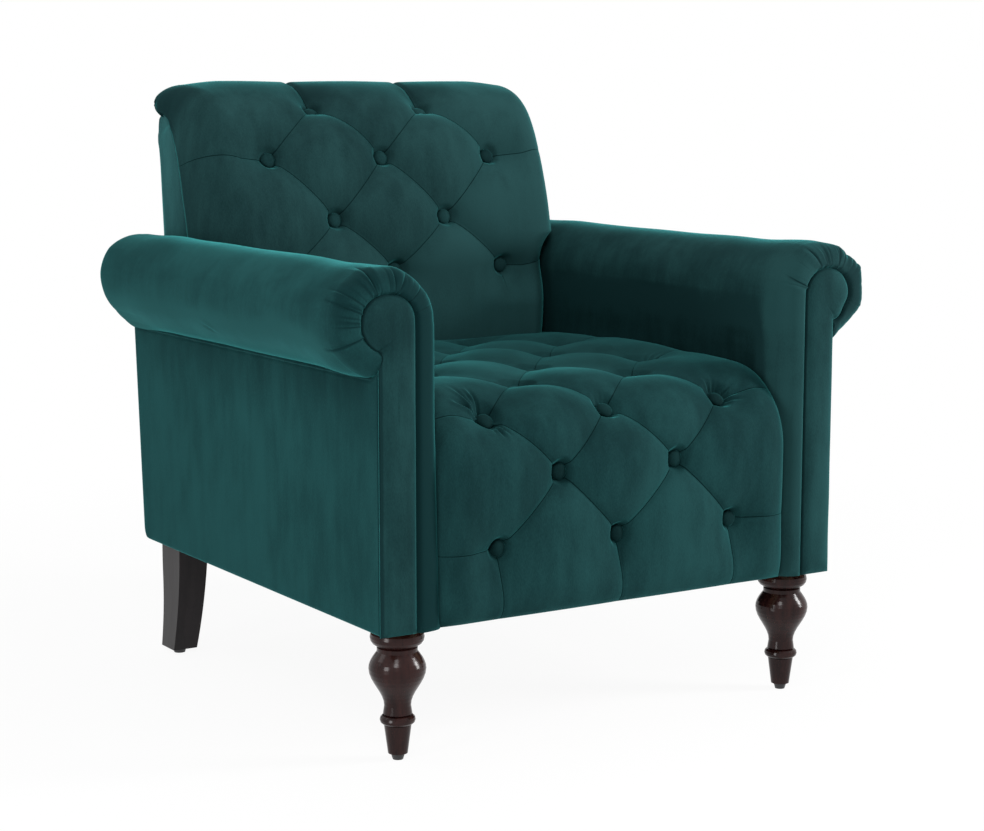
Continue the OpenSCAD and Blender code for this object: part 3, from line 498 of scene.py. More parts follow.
def build_seat():
    """The tufted seat cover, from the front rail's foot to below the back."""
    s = np.concatenate([[0, 0.8, 2, 4, 6.5], np.arange(8.5, SEAT_END, 1.45), [SEAT_END]])[:, None]
    flat = SEAT_HALF - SEAT_EDGE_R
    turns = np.radians(np.linspace(0, 90, 19)[1:])
    right = np.concatenate([np.linspace(0, flat, 156), flat + SEAT_EDGE_R * np.sin(turns)])
    x = np.concatenate([-right[:0:-1], right])[None, :]
    # Plump on the upright front, sat softer and flatter on top
    sat = ease((s - 205) / 115)
    k, seam_a, seam_b = tufts(x, s, SEAT_ROWS, SEAT_PITCH, 85, 24, 62, (0.72, 1.0, 0.8),
                              0.06 + 0.34 * sat)
    h = mix(k ** PLUMP, 0.20 + 0.64 * k ** 1.2, sat)
    reach = near_buttons(x, s, SEAT_ROWS, SEAT_PITCH)
    edge = quarter_round((SEAT_HALF - np.abs(x)) / SEAT_EDGE_R)
    level = mix(-2, 5, ease((s - SEAT_UP) / SEAT_ROUND))
    rear_fall = mix(1, 0.86, ease((s - SEAT_END + 260) / 150))
    puffed = SEAT_PUFF * rear_fall * h * ease((reach - BUTTON_REACH) / mix(9, 20, sat))
    folds = gathers(x, s, SEAT_ROWS, SEAT_PITCH, [0, 0.15, 1, 1, 0.8, 0.7, 0.6, 0.5], SEAT_FANS, 11)
    puffed = puffed + (folds - mix(1.5, 0.7, sat) * groove(seam_a, seam_b, 3.2)) * edge
    puffed = puffed + 0.7 * lumps(x, s, 210, 5) * edge * ease((reach - 12) / 30)
    lift = mix(mix(level, puffed, edge), SEAT_TAIL, ease((s - SEAT_ROWS[-1] - 8) / 26))
    lift = lift * quarter_round(s / 40)
    y, z, ny, nz = seat_curve(s)
    outer = grid(x, y + ny * lift, z + nz * lift)
    # The cover turns down at its sides, beside the foam
    shallow = 6 + 0 * s
    deep = shallow + (11 * ease(s / 30) + 13 * ease((s - 130) / 40)) * fades(s, SEAT_END - 70, 60)
    turned = [SEAT_HALF, SEAT_HALF - VELVET_T, SEAT_HALF - VELVET_T - 0.6]
    lining = np.array([turned + [-v for v in turned[::-1]]])
    down = np.concatenate([deep, deep, shallow, shallow, deep, deep], 1)
    inner = grid(lining, y - ny * down, z - nz * down)
    pad = lambda v: np.concatenate([np.broadcast_to(v, outer.shape[:2]),
                                    np.full(inner.shape[:2], NO_SEAM)], 1)
    # Painted shade on the top, and painted light towards its rear
    nap = -0.05 * sat - 0.02 * ease((s - 120) / 80) + 0.14 * ease((s - 300) / 100)
    values = {"seam_a": pad(seam_a), "seam_b": pad(seam_b),
              "seam_on": pad(fades(s, SEAT_ROWS[-1], 20) * (0.25 + 0.75 * edge)), "nap": pad(nap)}
    piece = loft("seat_upholstery", np.concatenate([outer, inner], 1), values)
    return dress(piece, seat_velvet, ["seat_cover"])


# ---------------------------------------- back

# The cover starts at BACK_FOOT_Z, and reaches BACK_TUCK lower into the seat
BACK_FOOT_Z, BACK_TUCK = SEAT_H + 10, 16
TOP_Y, TOP_Z = SCROLL_Y - 16, CHAIR_H - BACK_TOP_R
FACE_Y = LUMBAR_Y + BACK_FACE_R
FACE_Z = TOP_Z - math.sqrt((BACK_FACE_R - BACK_TOP_R) ** 2 - (FACE_Y - TOP_Y) ** 2)
FACE_LOW = math.asin((BACK_FOOT_Z - FACE_Z) / BACK_FACE_R)
FACE_HIGH = math.atan2(TOP_Z - FACE_Z, FACE_Y - TOP_Y)
LEN_FACE = (FACE_HIGH - FACE_LOW) * BACK_FACE_R
LEN_TOP = (math.pi / 2 - FACE_HIGH) * BACK_TOP_R
LEN_FLAT = SCROLL_Y - TOP_Y
SCROLL_S = LEN_FACE + LEN_TOP + LEN_FLAT
BACK_LEN = SCROLL_S + SCROLL_R * math.radians(182)


def back_curve(s):
    """y, z and the normal's y, z of the back's side curve at its crown."""
    a = FACE_LOW + s / BACK_FACE_R
    b = FACE_HIGH + (s - LEN_FACE) / BACK_TOP_R
    c = (s - SCROLL_S) / SCROLL_R
    parts = [s < LEN_FACE, s < LEN_FACE + LEN_TOP, s < SCROLL_S, s >= SCROLL_S]
    pick = lambda *v: np.select(parts, [np.broadcast_to(q, np.shape(s)) for q in v])
    return (pick(FACE_Y - BACK_FACE_R * np.cos(a), TOP_Y - BACK_TOP_R * np.cos(b),
                 TOP_Y + s - LEN_FACE - LEN_TOP, SCROLL_Y + SCROLL_R * np.sin(c)),
            pick(FACE_Z + BACK_FACE_R * np.sin(a), TOP_Z + BACK_TOP_R * np.sin(b), CHAIR_H,
                 SCROLL_Z + SCROLL_R * np.cos(c)),
            pick(-np.cos(a), -np.cos(b), 0, np.sin(c)), pick(np.sin(a), np.sin(b), 1, np.cos(c)))


def back_half(z):
    """Half the back's width at a height: between the arms, then round their rolls."""
    circle = ROLL_X - np.sqrt(np.maximum(0, (ROLL_R + 1.2) ** 2 - (z - ROLL_Z) ** 2))
    return np.where(z <= ROLL_Z, INNER_X - 1.2, np.minimum(BACK_W / 2, circle))


def side_seam(s):
    """Depth of the seam between the back's front cover and its side panel."""
    return np.interp(s, [60, 170, 240, 302, 342, 378, 414, 442, 470, 492],
                     [70, 91, 91, 85, 82, 76, 64, 48, 37, SCROLL_R - 2])


def build_back():
    """The back's front cover, over the top to the end of the scroll."""
    s = np.concatenate([np.arange(-BACK_TUCK, BACK_LEN, 2.3), [BACK_LEN]])[:, None]
    y, z, ny, nz = back_curve(s)
    t = np.clip((s - LEN_FACE) / (SCROLL_S - LEN_FACE), 0, 1)
    edge_r = mix(mix(40, BACK_EDGE_R, ease((s - 40) / 110)), 35, ease(t))
    rear_inset = side_seam(s)
    inner_inset = mix(BACK_PUFF + 6, 20, ease((t - 0.62) / 0.38))

    def sink(x, up=0):
        # The outermost seams climb by up round the sides
        climb = s + 3 * ease((np.abs(x) - BACK_PITCH) / 60) - up
        k, seam_a, seam_b = tufts(x, climb, BACK_ROWS, BACK_PITCH, 62, SCROLL_S - BACK_ROWS[-1] + 20,
                                  BACK_W / 2 - BACK_EDGE_R / 3 - BACK_PITCH, (1, 1, 0.97), 0.16)
        reach = near_buttons(x, s, BACK_ROWS, BACK_PITCH)
        on = fades(s, SCROLL_S + 8, 22) * ease((s - 62) / 30)
        h = k ** PLUMP * ease((reach - BUTTON_REACH) / 9)
        folds = gathers(x, s, BACK_ROWS, BACK_PITCH, [0.25, 0.2, 0.35, 0.9], {}, 23)
        deep = 1.5 + 1.8 * ease((s - BACK_ROWS[-1]) / 50)
        extra = folds - deep * on * groove(seam_a, seam_b, 3.4)
        extra = extra + 0.8 * lumps(x, s, 230, 8) * ease((reach - 12) / 30) * fades(t, 0, 1 / 3)
        shoulder = 8 * ease((np.abs(x) - BACK_W / 2 + 95) / 95) * ease((t - 0.3) / 0.5)
        return BACK_PUFF * (1 - h) - extra + shoulder, seam_a, seam_b, on

    half_at = lambda inset: back_half(z - nz * inset)
    flat = half_at(0) - edge_r
    x = np.linspace(0, 1, 107)[None, :] * flat
    d, seam_a, seam_b, on = sink(x)
    cols = [(x, d)]
    turns = np.radians(np.linspace(0, 90, 37)[1:])[None, :]
    inset = rear_inset * (1 - np.cos(turns))
    # The cover is drawn in softly along the side, with small folds where it turns under the scroll
    near_seam = ease((np.degrees(turns) - 55) / 35)
    pull = 1.1 * np.sin(s / 5.2 + 1.3 * np.sin(s / 17)) * near_seam * ease((t - 0.84) / 0.12)
    lip = 2.0 * bell(np.degrees(turns), 90, 3.0) * fades(t, 0.9, 0.1)
    xe = half_at(inset) - edge_r * (1 - np.sin(turns))
    de, ea, eb, _ = sink(xe, 19 * turns / (math.pi / 2))
    fade = 1 - turns / (math.pi / 2)
    xe = xe + pull - near_seam + lip + 8.0 * ease((t - 0.78) / 0.2) * np.sin(turns)
    cols.append((xe, inset + de * mix(fade, 1, 0.35 * ease((t - 0.3) / 0.5))))
    cols.append((half_at(rear_inset) - VELVET_T, rear_inset))
    cols.append((half_at(inner_inset) - mix(22, VELVET_T, ease(t)), inner_inset))
    xs, ds = [np.concatenate([np.broadcast_to(v, (len(s), v.shape[1])) for v in q], 1)
              for q in zip(*cols)]
    half = grid(xs, y - ny * ds, z - nz * ds)
    rings = np.concatenate([half[:, :0:-1] * np.array([-1, 1, 1]), half], 1)
    rest = np.full((len(s), 2), NO_SEAM)
    both = lambda p, q: np.concatenate([rest, q[:, ::-1], p[:, :0:-1], p, q, rest], 1)
    # Painted light towards the right side and at the foot, and painted shade over the top
    values = {"seam_a": both(seam_a, ea), "seam_b": both(seam_b, eb),
              "seam_on": both(np.broadcast_to(on, x.shape), np.broadcast_to(on, xe.shape)),
              "nap": (0.13 * ease((rings[..., 0] - 20) / 200) + 0.40 * fades(s, 20, 150)
                      - 0.16 * ease((t - 0.3) / 0.5))}
    piece = loft("back_upholstery", rings, values)
    return dress(piece, back_velvet, ["back_cover"])


# ---------------------------------------- buttons

def build_buttons(name, places, material, node):
    """Fabric-covered domed buttons, each turned to the cover's normal."""
    radii = np.array([0, 2.2, 4.6, 6.8, 8.6, 9.9, 10.7, 11, 10.8, 10.2]) * BUTTON_D / 22
    rises = np.array([7, 6.9, 6.45, 5.75, 4.8, 3.7, 2.5, 1.3, 0.4, 0]) * BUTTON_H / 7
    around = 40
    turns = 2 * math.pi * np.arange(around) / around
    dome = loop_faces(len(radii) - 1, around)[:, [0, 3, 2, 1]]
    points, quads, caps = [], [], []
    for x, y, z, ny, nz in places:
        top = len(points)
        points.append([x, y + ny * rises[0], z + nz * rises[0]])
        for r, h in zip(radii[1:], rises[1:]):
            pucker = 1 + 0.012 * np.sin(9 * turns + x) * (r > 9)
            u, v = r * pucker * np.cos(turns), r * pucker * np.sin(turns)
            points.extend(grid(x + u, y + ny * h + v * nz, z + nz * h - v * ny))
        quads.extend(top + 1 + dome)
        caps.extend([top, top + 1 + k, top + 1 + (k + 1) % around] for k in range(around))
        caps.append(range(len(points) - 1, len(points) - 1 - around, -1))
    return dress(new_piece(name, points, quads, caps), material, [node])


def curve_places(rows, pitch, curve, lift):
    """Place and normal of each button on a cover's side curve, lift mm off it."""
    out = []
    for x, s in button_places(rows, pitch):
        y, z, ny, nz = [float(v) for v in curve(np.array(s, float))]
        out.append((x, y + ny * lift, z + nz * lift, ny, nz))
    return out


# ---------------------------------------- arms

# Points up the inner face of an arm, and over its roll
ARM_RISE, ARM_TURN = 45, 330
# Length of the roll behind its rounded front end, and the cover's lower edge there
ROLL_RUN, ARM_LOW_Z = 640.0, LEG_H + 124.3
# A pucker on the left roll: y in mm, turn round the roll in degrees, its slope and its scale
PUCKER_Y, PUCKER_DEG, PUCKER_SLOPE, PUCKER_SCALE = 2.0, -35.0, 0.42, 1.08
ROLL_MM_PER_DEG = 1.15
# The gathers round the head of each arm: degrees from its outer side, depth in mm, lean in degrees/mm
PLEATS = {-1: ((-23, 5, -0.08), (19, 5, 0.08), (33, 4, 0.04), (65, 6, 0.12), (103, 4, -0.08),
               (109, 6, 0.3), (139, 4, 0.1), (163, 2, 0)),
          1: ((33, 2, 0), (67.5, 2.5, 0.1), (91, 2, 0), (108, 3.5, 0.12), (162, 5, -0.2))}
# How far the stuffing stands out at the front and rear ends of an arm, by degrees round the roll
FRONT_SWELL = {-1: ((-86, 3), (-62, 4), (-30, 3), (0, 3), (60, 2), (90, 0), (103, 0), (122, 1),
                    (140, 2), (162, 5), (180, 6.5)),
               1: ((-86, 2), (-60, 0), (0, 2), (60, 2), (88, 4), (110, 4), (135, 3), (180, 2))}
EDGE_SWELL = {-1: ((-86, 0), (60, 0), (85, 1.5), (110, 1.5), (130, 0), (180, 0)),
              1: ((-86, 0), (-72, 0.5), (-58, -3.5), (-44, -3), (-30, 0), (-16, 6.5), (-8, 6.2),
                  (2, 5.5), (12, 6), (20, 8), (28, 11), (36, 8), (50, 1.2), (57, 4), (64, 4.2),
                  (71, 1.5), (78, -2), (90, -4), (102, -3), (118, 0), (180, 0))}
REAR_SWELL = ((-86, 5), (-73, 4), (-59, -1), (-42, -3.5), (-25, -2), (-9, -1), (11, 1.5),
              (43, 3.5), (64, 1), (90, -1.5), (121, -0.5), (150, 0), (180, 0))
# Painted shade round the roll, by degrees
ARM_PAINTED_SHADE = {-1: ((-86, 0), (90, 0), (135, -0.18), (180, -0.18)),
           1: ((-86, -0.13), (20, -0.13), (50, 0), (180, 0))}


def wall_angle(d):
    """Turn at which the roll meets the outer wall, d inside its surface."""
    return -math.acos((WALL_X - ROLL_X) / (ROLL_R - d))


def fold_line(off, depth, steep, slow):
    """Section of one gather: a sharp valley with a low ridge beside it."""
    valley = np.exp(-np.abs(off) / np.where(off < 0, steep, slow))
    return depth * (valley - 0.42 * bell(off, 2.6 * slow, 1.6 * slow))


def head_seam(side, turn):
    """How far the seam round the head of a facing lies inside its circle."""
    deg = np.degrees(turn)
    if side < 0:
        return 2.5 * bell(deg, 95, 38)
    return bell(deg, 80, 35) + 3.5 * bell(deg, -30, 20)


def arm_outline(side, inset, low, along, rear=0.0):
    """x and z of the arm's section with its surface drawn in by inset, and where its creases lie.

    along is the way over the surface from the seam of the facing, over which the gathers fade, and
    rear is the share of the swell at the rear end.
    """
    turn = np.linspace(math.pi, wall_angle(inset), ARM_TURN)
    r = ROLL_R - inset
    deg = np.degrees(turn)
    start, soft = ease((along + 1.5) / 9), fades(along, 26, 62)
    # Between two gathers the cover is stretched flat
    marks = np.array([-86.0] + [q[0] for q in PLEATS[side]] + [203.0])
    flat = np.zeros_like(turn)
    for a, b in zip(marks[:-1], marks[1:]):
        middle, half = (a + b) / 2, min((b - a) / 2, 26)
        reach = np.radians(np.clip(deg - middle, -half, half))
        chord = 1 - math.cos(math.radians(half)) / np.cos(reach)
        share = 0.35 if middle > 100 else (0.0 if side > 0 else 1.0)
        flat = np.where((deg >= a) & (deg < b), np.maximum(chord, 0) * share, flat)
    sink = flat * r * 0.75 * soft * (0.3 + 0.7 * start)
    crease = np.zeros_like(turn)
    # The gathers towards the seat stay short
    short_from = 100 if side < 0 else 60
    outer_run = soft if side > 0 else fades(along, 22, 46)
    for m, deep, lean in PLEATS[side]:
        off = deg - m - lean * along
        run = fades(along, 16, 26) if m > short_from else outer_run
        sink = sink + fold_line(off, deep * run * start, 1.2, 3.4)
        crease = crease + min(1, deep / 5) * run * bell(off, 0, 1.1)
    # Small gathers, close to the facing
    rng = np.random.default_rng(31 + side)
    tight = start * fades(along, 13, 29)
    for m in rng.uniform(-20, 170, 26):
        deep = rng.uniform(0.5, 1.7) * (1 if m < 125 else 0.4)
        wide, bend = rng.uniform(0.8, 1.3), rng.uniform(-0.05, 0.05)
        off = deg - m - bend * along
        sink = sink + fold_line(off, deep * tight, wide, wide * 1.5)
        crease = crease + 0.3 * deep * tight * bell(off, 0, wide)
    sink = np.minimum(sink, 4.0 + 8 * fades(along, 20, 15))
    stuffed = ease(along / 20) * fades(along, 60, 100)
    sink = sink - stuffed * table(deg, FRONT_SWELL[side])
    sink = sink - ease(along / 15) * fades(along, 26, 34) * table(deg, EDGE_SWELL[side])
    sink = sink - rear * table(deg, REAR_SWELL)
    sink = sink + head_seam(side, turn) * fades(along, 0, 30)
    if side < 0:
        sink = sink + 2 * bell(along, 130, 45) * bell(deg, 90, 40)
    sink = sink * ease((turn - wall_angle(inset)) / 0.12)
    z = np.linspace(low, ROLL_Z, ARM_RISE + 1)[:-1]
    inward = FRONT_SWELL[side][-1][1] + (0.028 if side < 0 else 0.005) * np.maximum(420 - z, 0)
    x = np.concatenate([INNER_X + inset - stuffed * inward, ROLL_X + (r - sink) * np.cos(turn)])
    z = np.concatenate([z, ROLL_Z + (r - sink) * np.sin(turn)])
    return x, z, np.concatenate([np.zeros(ARM_RISE), np.minimum(crease, 1)])


def build_arm(side):
    """The cover of an arm: up its inner face, over the roll and under it to the outer wall."""
    rings, painted_lights = [], []
    on_roll = np.arange(ARM_RISE + ARM_TURN) >= ARM_RISE
    turn = np.concatenate([np.full(ARM_RISE, math.pi), np.linspace(math.pi, wall_angle(0), ARM_TURN)])
    deg = np.degrees(turn)
    painted_roll_shade = table(deg, ARM_PAINTED_SHADE[side])
    # Painted light on the right arm's border beside the seat, and low on the outside of the left roll
    lit = 0.12 * (side > 0) * ease((deg - 110) / 30)
    painted_low_light = 0.38 * (side < 0) * bell(deg, -42, 24)
    # Painted shade on the end of the left roll, drawn in round the facing
    painted_end_shade = lambda along: -0.13 * (side < 0) * bell(along, 34, 20) * bell(deg, 5, 45)
    for a in np.radians(np.linspace(0, 90, 26)):
        inset, run = BORDER_R * (1 - math.sin(a)), BORDER_R * (1 - math.cos(a))
        seam = 5.5 * bell(BORDER_R * math.sin(a), 0, 3.2)
        x, z, crease = arm_outline(side, inset, LEG_H, BORDER_R * a)
        rings.append(grid(x, FRONT_Y + run + seam, z))
        # Creases are painted darker, as painted shade
        painted_lights.append(painted_roll_shade + lit + painted_end_shade(BORDER_R * a) - 0.3 * crease)
    for way in np.concatenate([np.linspace(0, 70, 36), np.linspace(70, ROLL_RUN, 72)[1:]]):
        f, along = way / ROLL_RUN, BORDER_R * math.pi / 2 + way
        x, z, crease = arm_outline(side, 0, ARM_LOW_Z, along, ease((f - 0.8) / 0.19))
        # Painted shade on a patch of the left roll and low on the right arm's inner face beside the
        # seat; creases painted darker as painted shade
        painted_patch_shade = -0.09 * (side < 0) * bell(way, 55, 42) * bell(deg, 18, 34)
        deeper = ease((way - 4) / 40)
        shaded = -0.35 * (side > 0) * ~on_roll * fades(z, 470, 90) * deeper
        painted_lights.append(mix(painted_roll_shade + lit, painted_low_light, deeper) + painted_patch_shade + shaded + painted_end_shade(along) - 0.3 * crease)
        y = mix(FRONT_Y + BORDER_R + 1.4, rear_at(z) - PANEL_T - GAP - ROLL_REAR_R, f)
        around = ROLL_R * (math.pi - turn) + (z - ROLL_Z) * ~on_roll
        puff = lumps(y, around * 1.2, 260, 3 + side) * math.sin(math.pi * f)
        puff = puff + 2.6 * bell(y, 225, 55) * np.clip(np.sin(turn), 0, 1)
        if side < 0:
            u = (y - PUCKER_Y) / PUCKER_SCALE
            v = (deg - PUCKER_DEG) * ROLL_MM_PER_DEG / PUCKER_SCALE
            line, length = v - PUCKER_SLOPE * u, PUCKER_SLOPE * v + u
            puff = puff - 2.6 * bell(line, 0, 2.0) * bell(length, 0, 13)
            puff = puff + 1.1 * bell(line, 5, 4.0) * bell(length, 0, 17)
        puff = puff * on_roll
        rings.append(grid(x + np.cos(turn) * puff, y, z + np.sin(turn) * puff))
    for a in np.radians(np.linspace(90, 0, 9))[1:]:
        inset, run = ROLL_REAR_R * (1 - math.sin(a)), ROLL_REAR_R * (1 - math.cos(a))
        x, z, _ = arm_outline(side, inset, ARM_LOW_Z, 900, 1.0)
        rings.append(grid(x, rear_at(z) - PANEL_T - GAP - run, z))
        painted_lights.append(0 * painted_roll_shade)
    outer = np.array(rings)
    # The inner face of the cover follows VELVET_T behind, at the ends too
    to_axis = (np.array([ROLL_X, 0, ROLL_Z]) - outer) / ROLL_R * [1, 0, 1]
    inner = outer + np.where(on_roll[:, None], to_axis, [1, 0, 0]) * VELVET_T
    inner[:13, :, 1] += VELVET_T
    inner[-4:, :, 1] -= VELVET_T
    rings = two_skins(outer, inner, side)
    rows, columns = rings.shape[:2]
    last = (rows - 1) * columns
    ends = []
    for i in range(columns // 2 - 1):
        ends.append([i, i + 1, columns - 2 - i, columns - 1 - i])
        ends.append([last + i + 1, last + i, last + columns - 1 - i, last + columns - 2 - i])
    quads = np.concatenate([loop_faces(rows, columns)[:, ::-1], np.array(ends)])
    nap = np.array([np.concatenate([row, 0 * row]) for row in painted_lights])
    piece = new_piece("arm_upholstery_" + SIDES[side], rings, quads, values={"nap": nap})
    return dress(piece, roll_velvet[side], ["arm_cover_" + SIDES[side]])


def facing_ring(side, d, y, count=70):
    """A ring of the keyhole facing, d inside its outline."""
    left, right, low = INNER_X + BORDER_R + d, WALL_X - d, LEG_H + d
    r = FACING_R - d
    neck = -math.acos(max(-1, min(1, (right - ROLL_X) / r)))
    up = np.linspace(low, ROLL_Z, count + 1)[:-1]
    turn = np.linspace(math.pi, neck, count)
    down = np.linspace(ROLL_Z + r * math.sin(neck), low, count + 1)
    head = r - head_seam(side, turn) * ease((turn - neck) / 0.12)
    x = np.concatenate([np.full(count, left), ROLL_X + head * np.cos(turn), np.full(count + 1, right)])
    z = np.concatenate([up, ROLL_Z + head * np.sin(turn), down])
    bottom = np.linspace(right, left, 8)[1:-1]
    x, z = np.concatenate([x, bottom]), np.concatenate([z, np.full(6, low)])
    return grid(x, y, z)


def build_facing(side):
    """The padded keyhole panel on the front of an arm."""
    # Each ring's way in from the outline, and behind the front
    depths = [(-1.2, 8.0), (-1.0, 6.6), (-0.6, 5.2), (0.2, 3.9), (1.2, 2.7), (2.4, 1.5), (3.8, 0.4),
              (5.6, -0.7), (8, -1.8), (11, -2.8), (14, -3.4), (17.5, -3.8), (20.5, -3.9)]
    rings = np.array([facing_ring(side, d, FRONT_Y + y) for d, y in depths])
    rings[3:, :, 1] += 0.35 * lumps(rings[3:, :, 0] * 1.5, rings[3:, :, 2], 90, 40 + side)
    # A small pucker where the head meets the stem
    u, v = rings[:, :, 0] - 344, rings[:, :, 2] - 512
    dip = np.exp(-np.abs(v + 0.9 * u) / 1.8) + 0.6 * np.exp(-np.abs(v - 0.5 * u) / 2.2)
    rings[2:, :, 1] += 2.4 * (dip * bell(u, 0, 9))[2:]
    # Painted shade on the rings at the outline, over a bright rim, and on the head of the left facing
    painted_rim_shade = np.array([-0.4, -0.4, -0.35, -0.2, -0.1] + [0] * (len(depths) - 5))[:, None]
    nap = painted_rim_shade - 0.13 * (side < 0) * ease((rings[:, :, 2] - 480) / 60) + 0.02
    rings *= np.array([side, 1, 1])
    piece = loft("arm_facing_pad_" + SIDES[side], rings, {"nap": nap})
    return dress(piece, plain_velvet, ["arm_facing_" + SIDES[side]])


def drawn_in(run, r):
    """How far the roll is drawn in at a distance from the end of an arm."""
    return r * (1 - quarter_round(run / r))


def corner_cut(z):
    """How far a panel's edge is drawn in at its rounded lower corner."""
    return 0.8 * drawn_in(z - LEG_H, CORNER_R)


def build_outer_panel(side):
    """The plain velvet wall of an arm, tacked under the roll and rounded at its edges."""
    t = np.concatenate([[0, 0.004, 0.008, 0.013, 0.018, 0.024], np.linspace(0.03, 0.97, 110),
                        [0.977, 0.983, 0.988, 0.992, 0.996, 1]])[None, :]
    v = np.concatenate([[0, 0.006, 0.015, 0.03], np.linspace(0.05, 0.93, 60),
                        np.linspace(0.934, 1, 18)])[:, None]
    # The way from the front edge, at the wall's mean length
    way = t * 657
    ends = np.maximum(drawn_in(way + FACING_T, BORDER_R), drawn_in((1 - t) * 700, ROLL_REAR_R))
    top = ROLL_Z - np.sqrt((ROLL_R - ends) ** 2 - (WALL_X - ROLL_X) ** 2) - GAP
    z = mix(LEG_H, top, v)
    y = mix(FRONT_Y + FACING_T + GAP, rear_at(z) - 0.5 - corner_cut(z), t)
    rim = np.minimum(np.minimum(t, 1 - t) * 660, z - LEG_H) / 3.0
    waves = 0.54 * lumps(y, z * 1.4, 240, 60 + side) * ease(rim / 6)
    pull = 0.4 * np.sin(y / 9 + 1.7 * np.sin(y / 41)) * bell(z, top, 14)
    fold = 1.5 * bell(top - z, 2.6, 1.3) - 1.4 * bell(top - z, 5.0, 1.2)
    x = WALL_X - 2.0 * (1 - quarter_round(rim)) + waves + pull + fold * ease((way - 6) / 20)
    rings = two_skins(grid(x, y, z), grid(WALL_X - PANEL_T, y, z), side)
    # Painted shade at the front edge, over a bright rim, and on the upper wall under the roll
    nap = 0.04 - 0.4 * bell(way, 0, 3) - 0.07 * ease((z - 370) / 90)
    nap = np.concatenate([nap, 0 * nap], 1)
    piece = loft("arm_wall_" + SIDES[side], rings, {"nap": nap})
    return dress(piece, wall_velvet, ["arm_outer_panel_" + SIDES[side]])


def build_rear_panel():
    """The velvet over the rear of the chair, in one piece from wall to wall."""
    high = SCROLL_Z - 30
    z = np.concatenate([[LEG_H, LEG_H + 0.8, LEG_H + 2, LEG_H + 4], np.arange(LEG_H + 7, high - 5, 3.0),
                        [high - 4, high - 2, high - 0.8, high]])
    reach = ROLL_R - ROLL_REAR_R
    tucked = PANEL_T + 3.6
    wide = np.where(z < ROLL_Z, WALL_X - 8, BACK_W / 2 - tucked)
    wide = np.where(z < ROLL_Z - ROLL_R + 4, WALL_X - tucked, wide)
    inside = np.abs(z - ROLL_Z) < reach
    round_x = ROLL_X + np.sqrt(np.maximum(0, reach ** 2 - (z - ROLL_Z) ** 2))
    wide = np.where(inside & (round_x > wide), round_x, wide)
    z, wide = z[:, None], (wide - corner_cut(z))[:, None]
    t = np.concatenate([[-1, -0.996, -0.99, -0.98], np.linspace(-0.965, 0.965, 120),
                        [0.98, 0.99, 0.996, 1]])[None, :]
    x = t * wide
    rim = np.minimum((1 - np.abs(t)) * wide, np.minimum(z - LEG_H, high - z)) / 4.0
    waves = 0.7 * lumps(x, z, 260, 77) * ease(rim / 6)
    y = rear_at(z) - 3.0 * (1 - quarter_round(rim)) + waves
    piece = loft("back_wall", two_skins(grid(x, y, z), grid(x, rear_at(z) - PANEL_T, z)))
    return dress(piece, plain_velvet, ["back_outer_panel"])


def build_side_panel(side):
    """The velvet between the back's front cover and its rear edge."""
    low = ROLL_Z + math.sqrt(ROLL_R ** 2 - (ROLL_X - BACK_W / 2) ** 2) + 1
    s = np.linspace(0, BACK_LEN, 700)
    y, z, ny, nz = back_curve(s)
    d = side_seam(s) - 1.0
    seam_y, seam_z = y - ny * d, z - nz * d
    first = int(np.argmax(seam_z > low))
    # Rows run from the seam to the rear edge, the last ones round the closed end of the scroll
    along = np.linspace(0, 1, 90) ** 0.9
    pick = mix(first, len(s) - 1, along)
    fy, fz = [np.interp(pick, np.arange(len(s)), v) for v in (seam_y, seam_z)]
    turn = math.radians(150)
    tip = (SCROLL_Y + 27 * math.sin(turn) - 0.6, SCROLL_Z + 27 * math.cos(turn) - 0.6)
    top = SCROLL_Z - 34
    rz = np.interp(along, [0, 0.93, 1], [low, top, tip[1]])
    ry = np.where(along < 0.93, rear_at(rz) - 0.5,
                  np.interp(along, [0.93, 1], [rear_at(top) - 0.5, tip[0]]))
    fy, fz, ry, rz = [q[:, None] for q in (fy, fz, ry, rz)]
    t = np.concatenate([[0, 0.02, 0.05], np.linspace(0.1, 0.94, 30), [0.97, 0.99, 1]])[None, :]
    yy, zz = mix(fy, ry, t), mix(fz, rz, t)
    wide = np.hypot(ry - fy, rz - fz)
    rim = np.minimum(t, 1 - t) * wide / 4.0
    rounding = 2.4 * (1 - quarter_round(rim)) + 3.0 * ease(1 - (1 - t) * wide / 22) ** 2
    folds = 0.49 * np.sin(yy / 6.5 + 0.9 * np.sin(zz / 34)) * ease((zz - 640) / 90) * ease(rim / 2)
    beyond = np.hypot(yy - SCROLL_Y, zz - SCROLL_Z) - SCROLL_R
    set_back = 4.6 * bell(np.maximum(beyond, 0), 0, 8) * ease((zz - 700) / 20)
    set_back = set_back * ease((1 - t) * wide / 14)
    seam = 3.2 * bell(t * wide, 0, 5) * ease((zz - 600) / 30)
    x = BACK_W / 2 - rounding + folds - np.maximum(set_back, seam)
    rings = two_skins(grid(x, yy, zz), grid(BACK_W / 2 - 9, yy, zz), side)
    piece = loft("back_side_wall_" + SIDES[side], rings)
    return dress(piece, side_velvet, ["back_side_panel_" + SIDES[side]])


build_seat()
build_back()
build_buttons("seat_button_set", curve_places(SEAT_ROWS, SEAT_PITCH, seat_curve, GAP),
              button_velvet["seat"], "seat_buttons")
build_buttons("back_button_set", curve_places(BACK_ROWS, BACK_PITCH, back_curve, GAP - BACK_PUFF),
              button_velvet["back"], "back_buttons")
for side in (-1, 1):
    build_arm(side)
    build_facing(side)
    build_outer_panel(side)
    build_side_panel(side)
build_rear_panel()

# ---------------------------------------- materials of the solids

for name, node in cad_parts.items():
    for slot in node.material_slots:
        key = slot.material.name.split(".")[0] if slot.material else ""
        for word, material in NODE_MATERIALS.items():
            if key.startswith(word):
                slot.material = square_wood if name.startswith("rear_leg") else material
                break

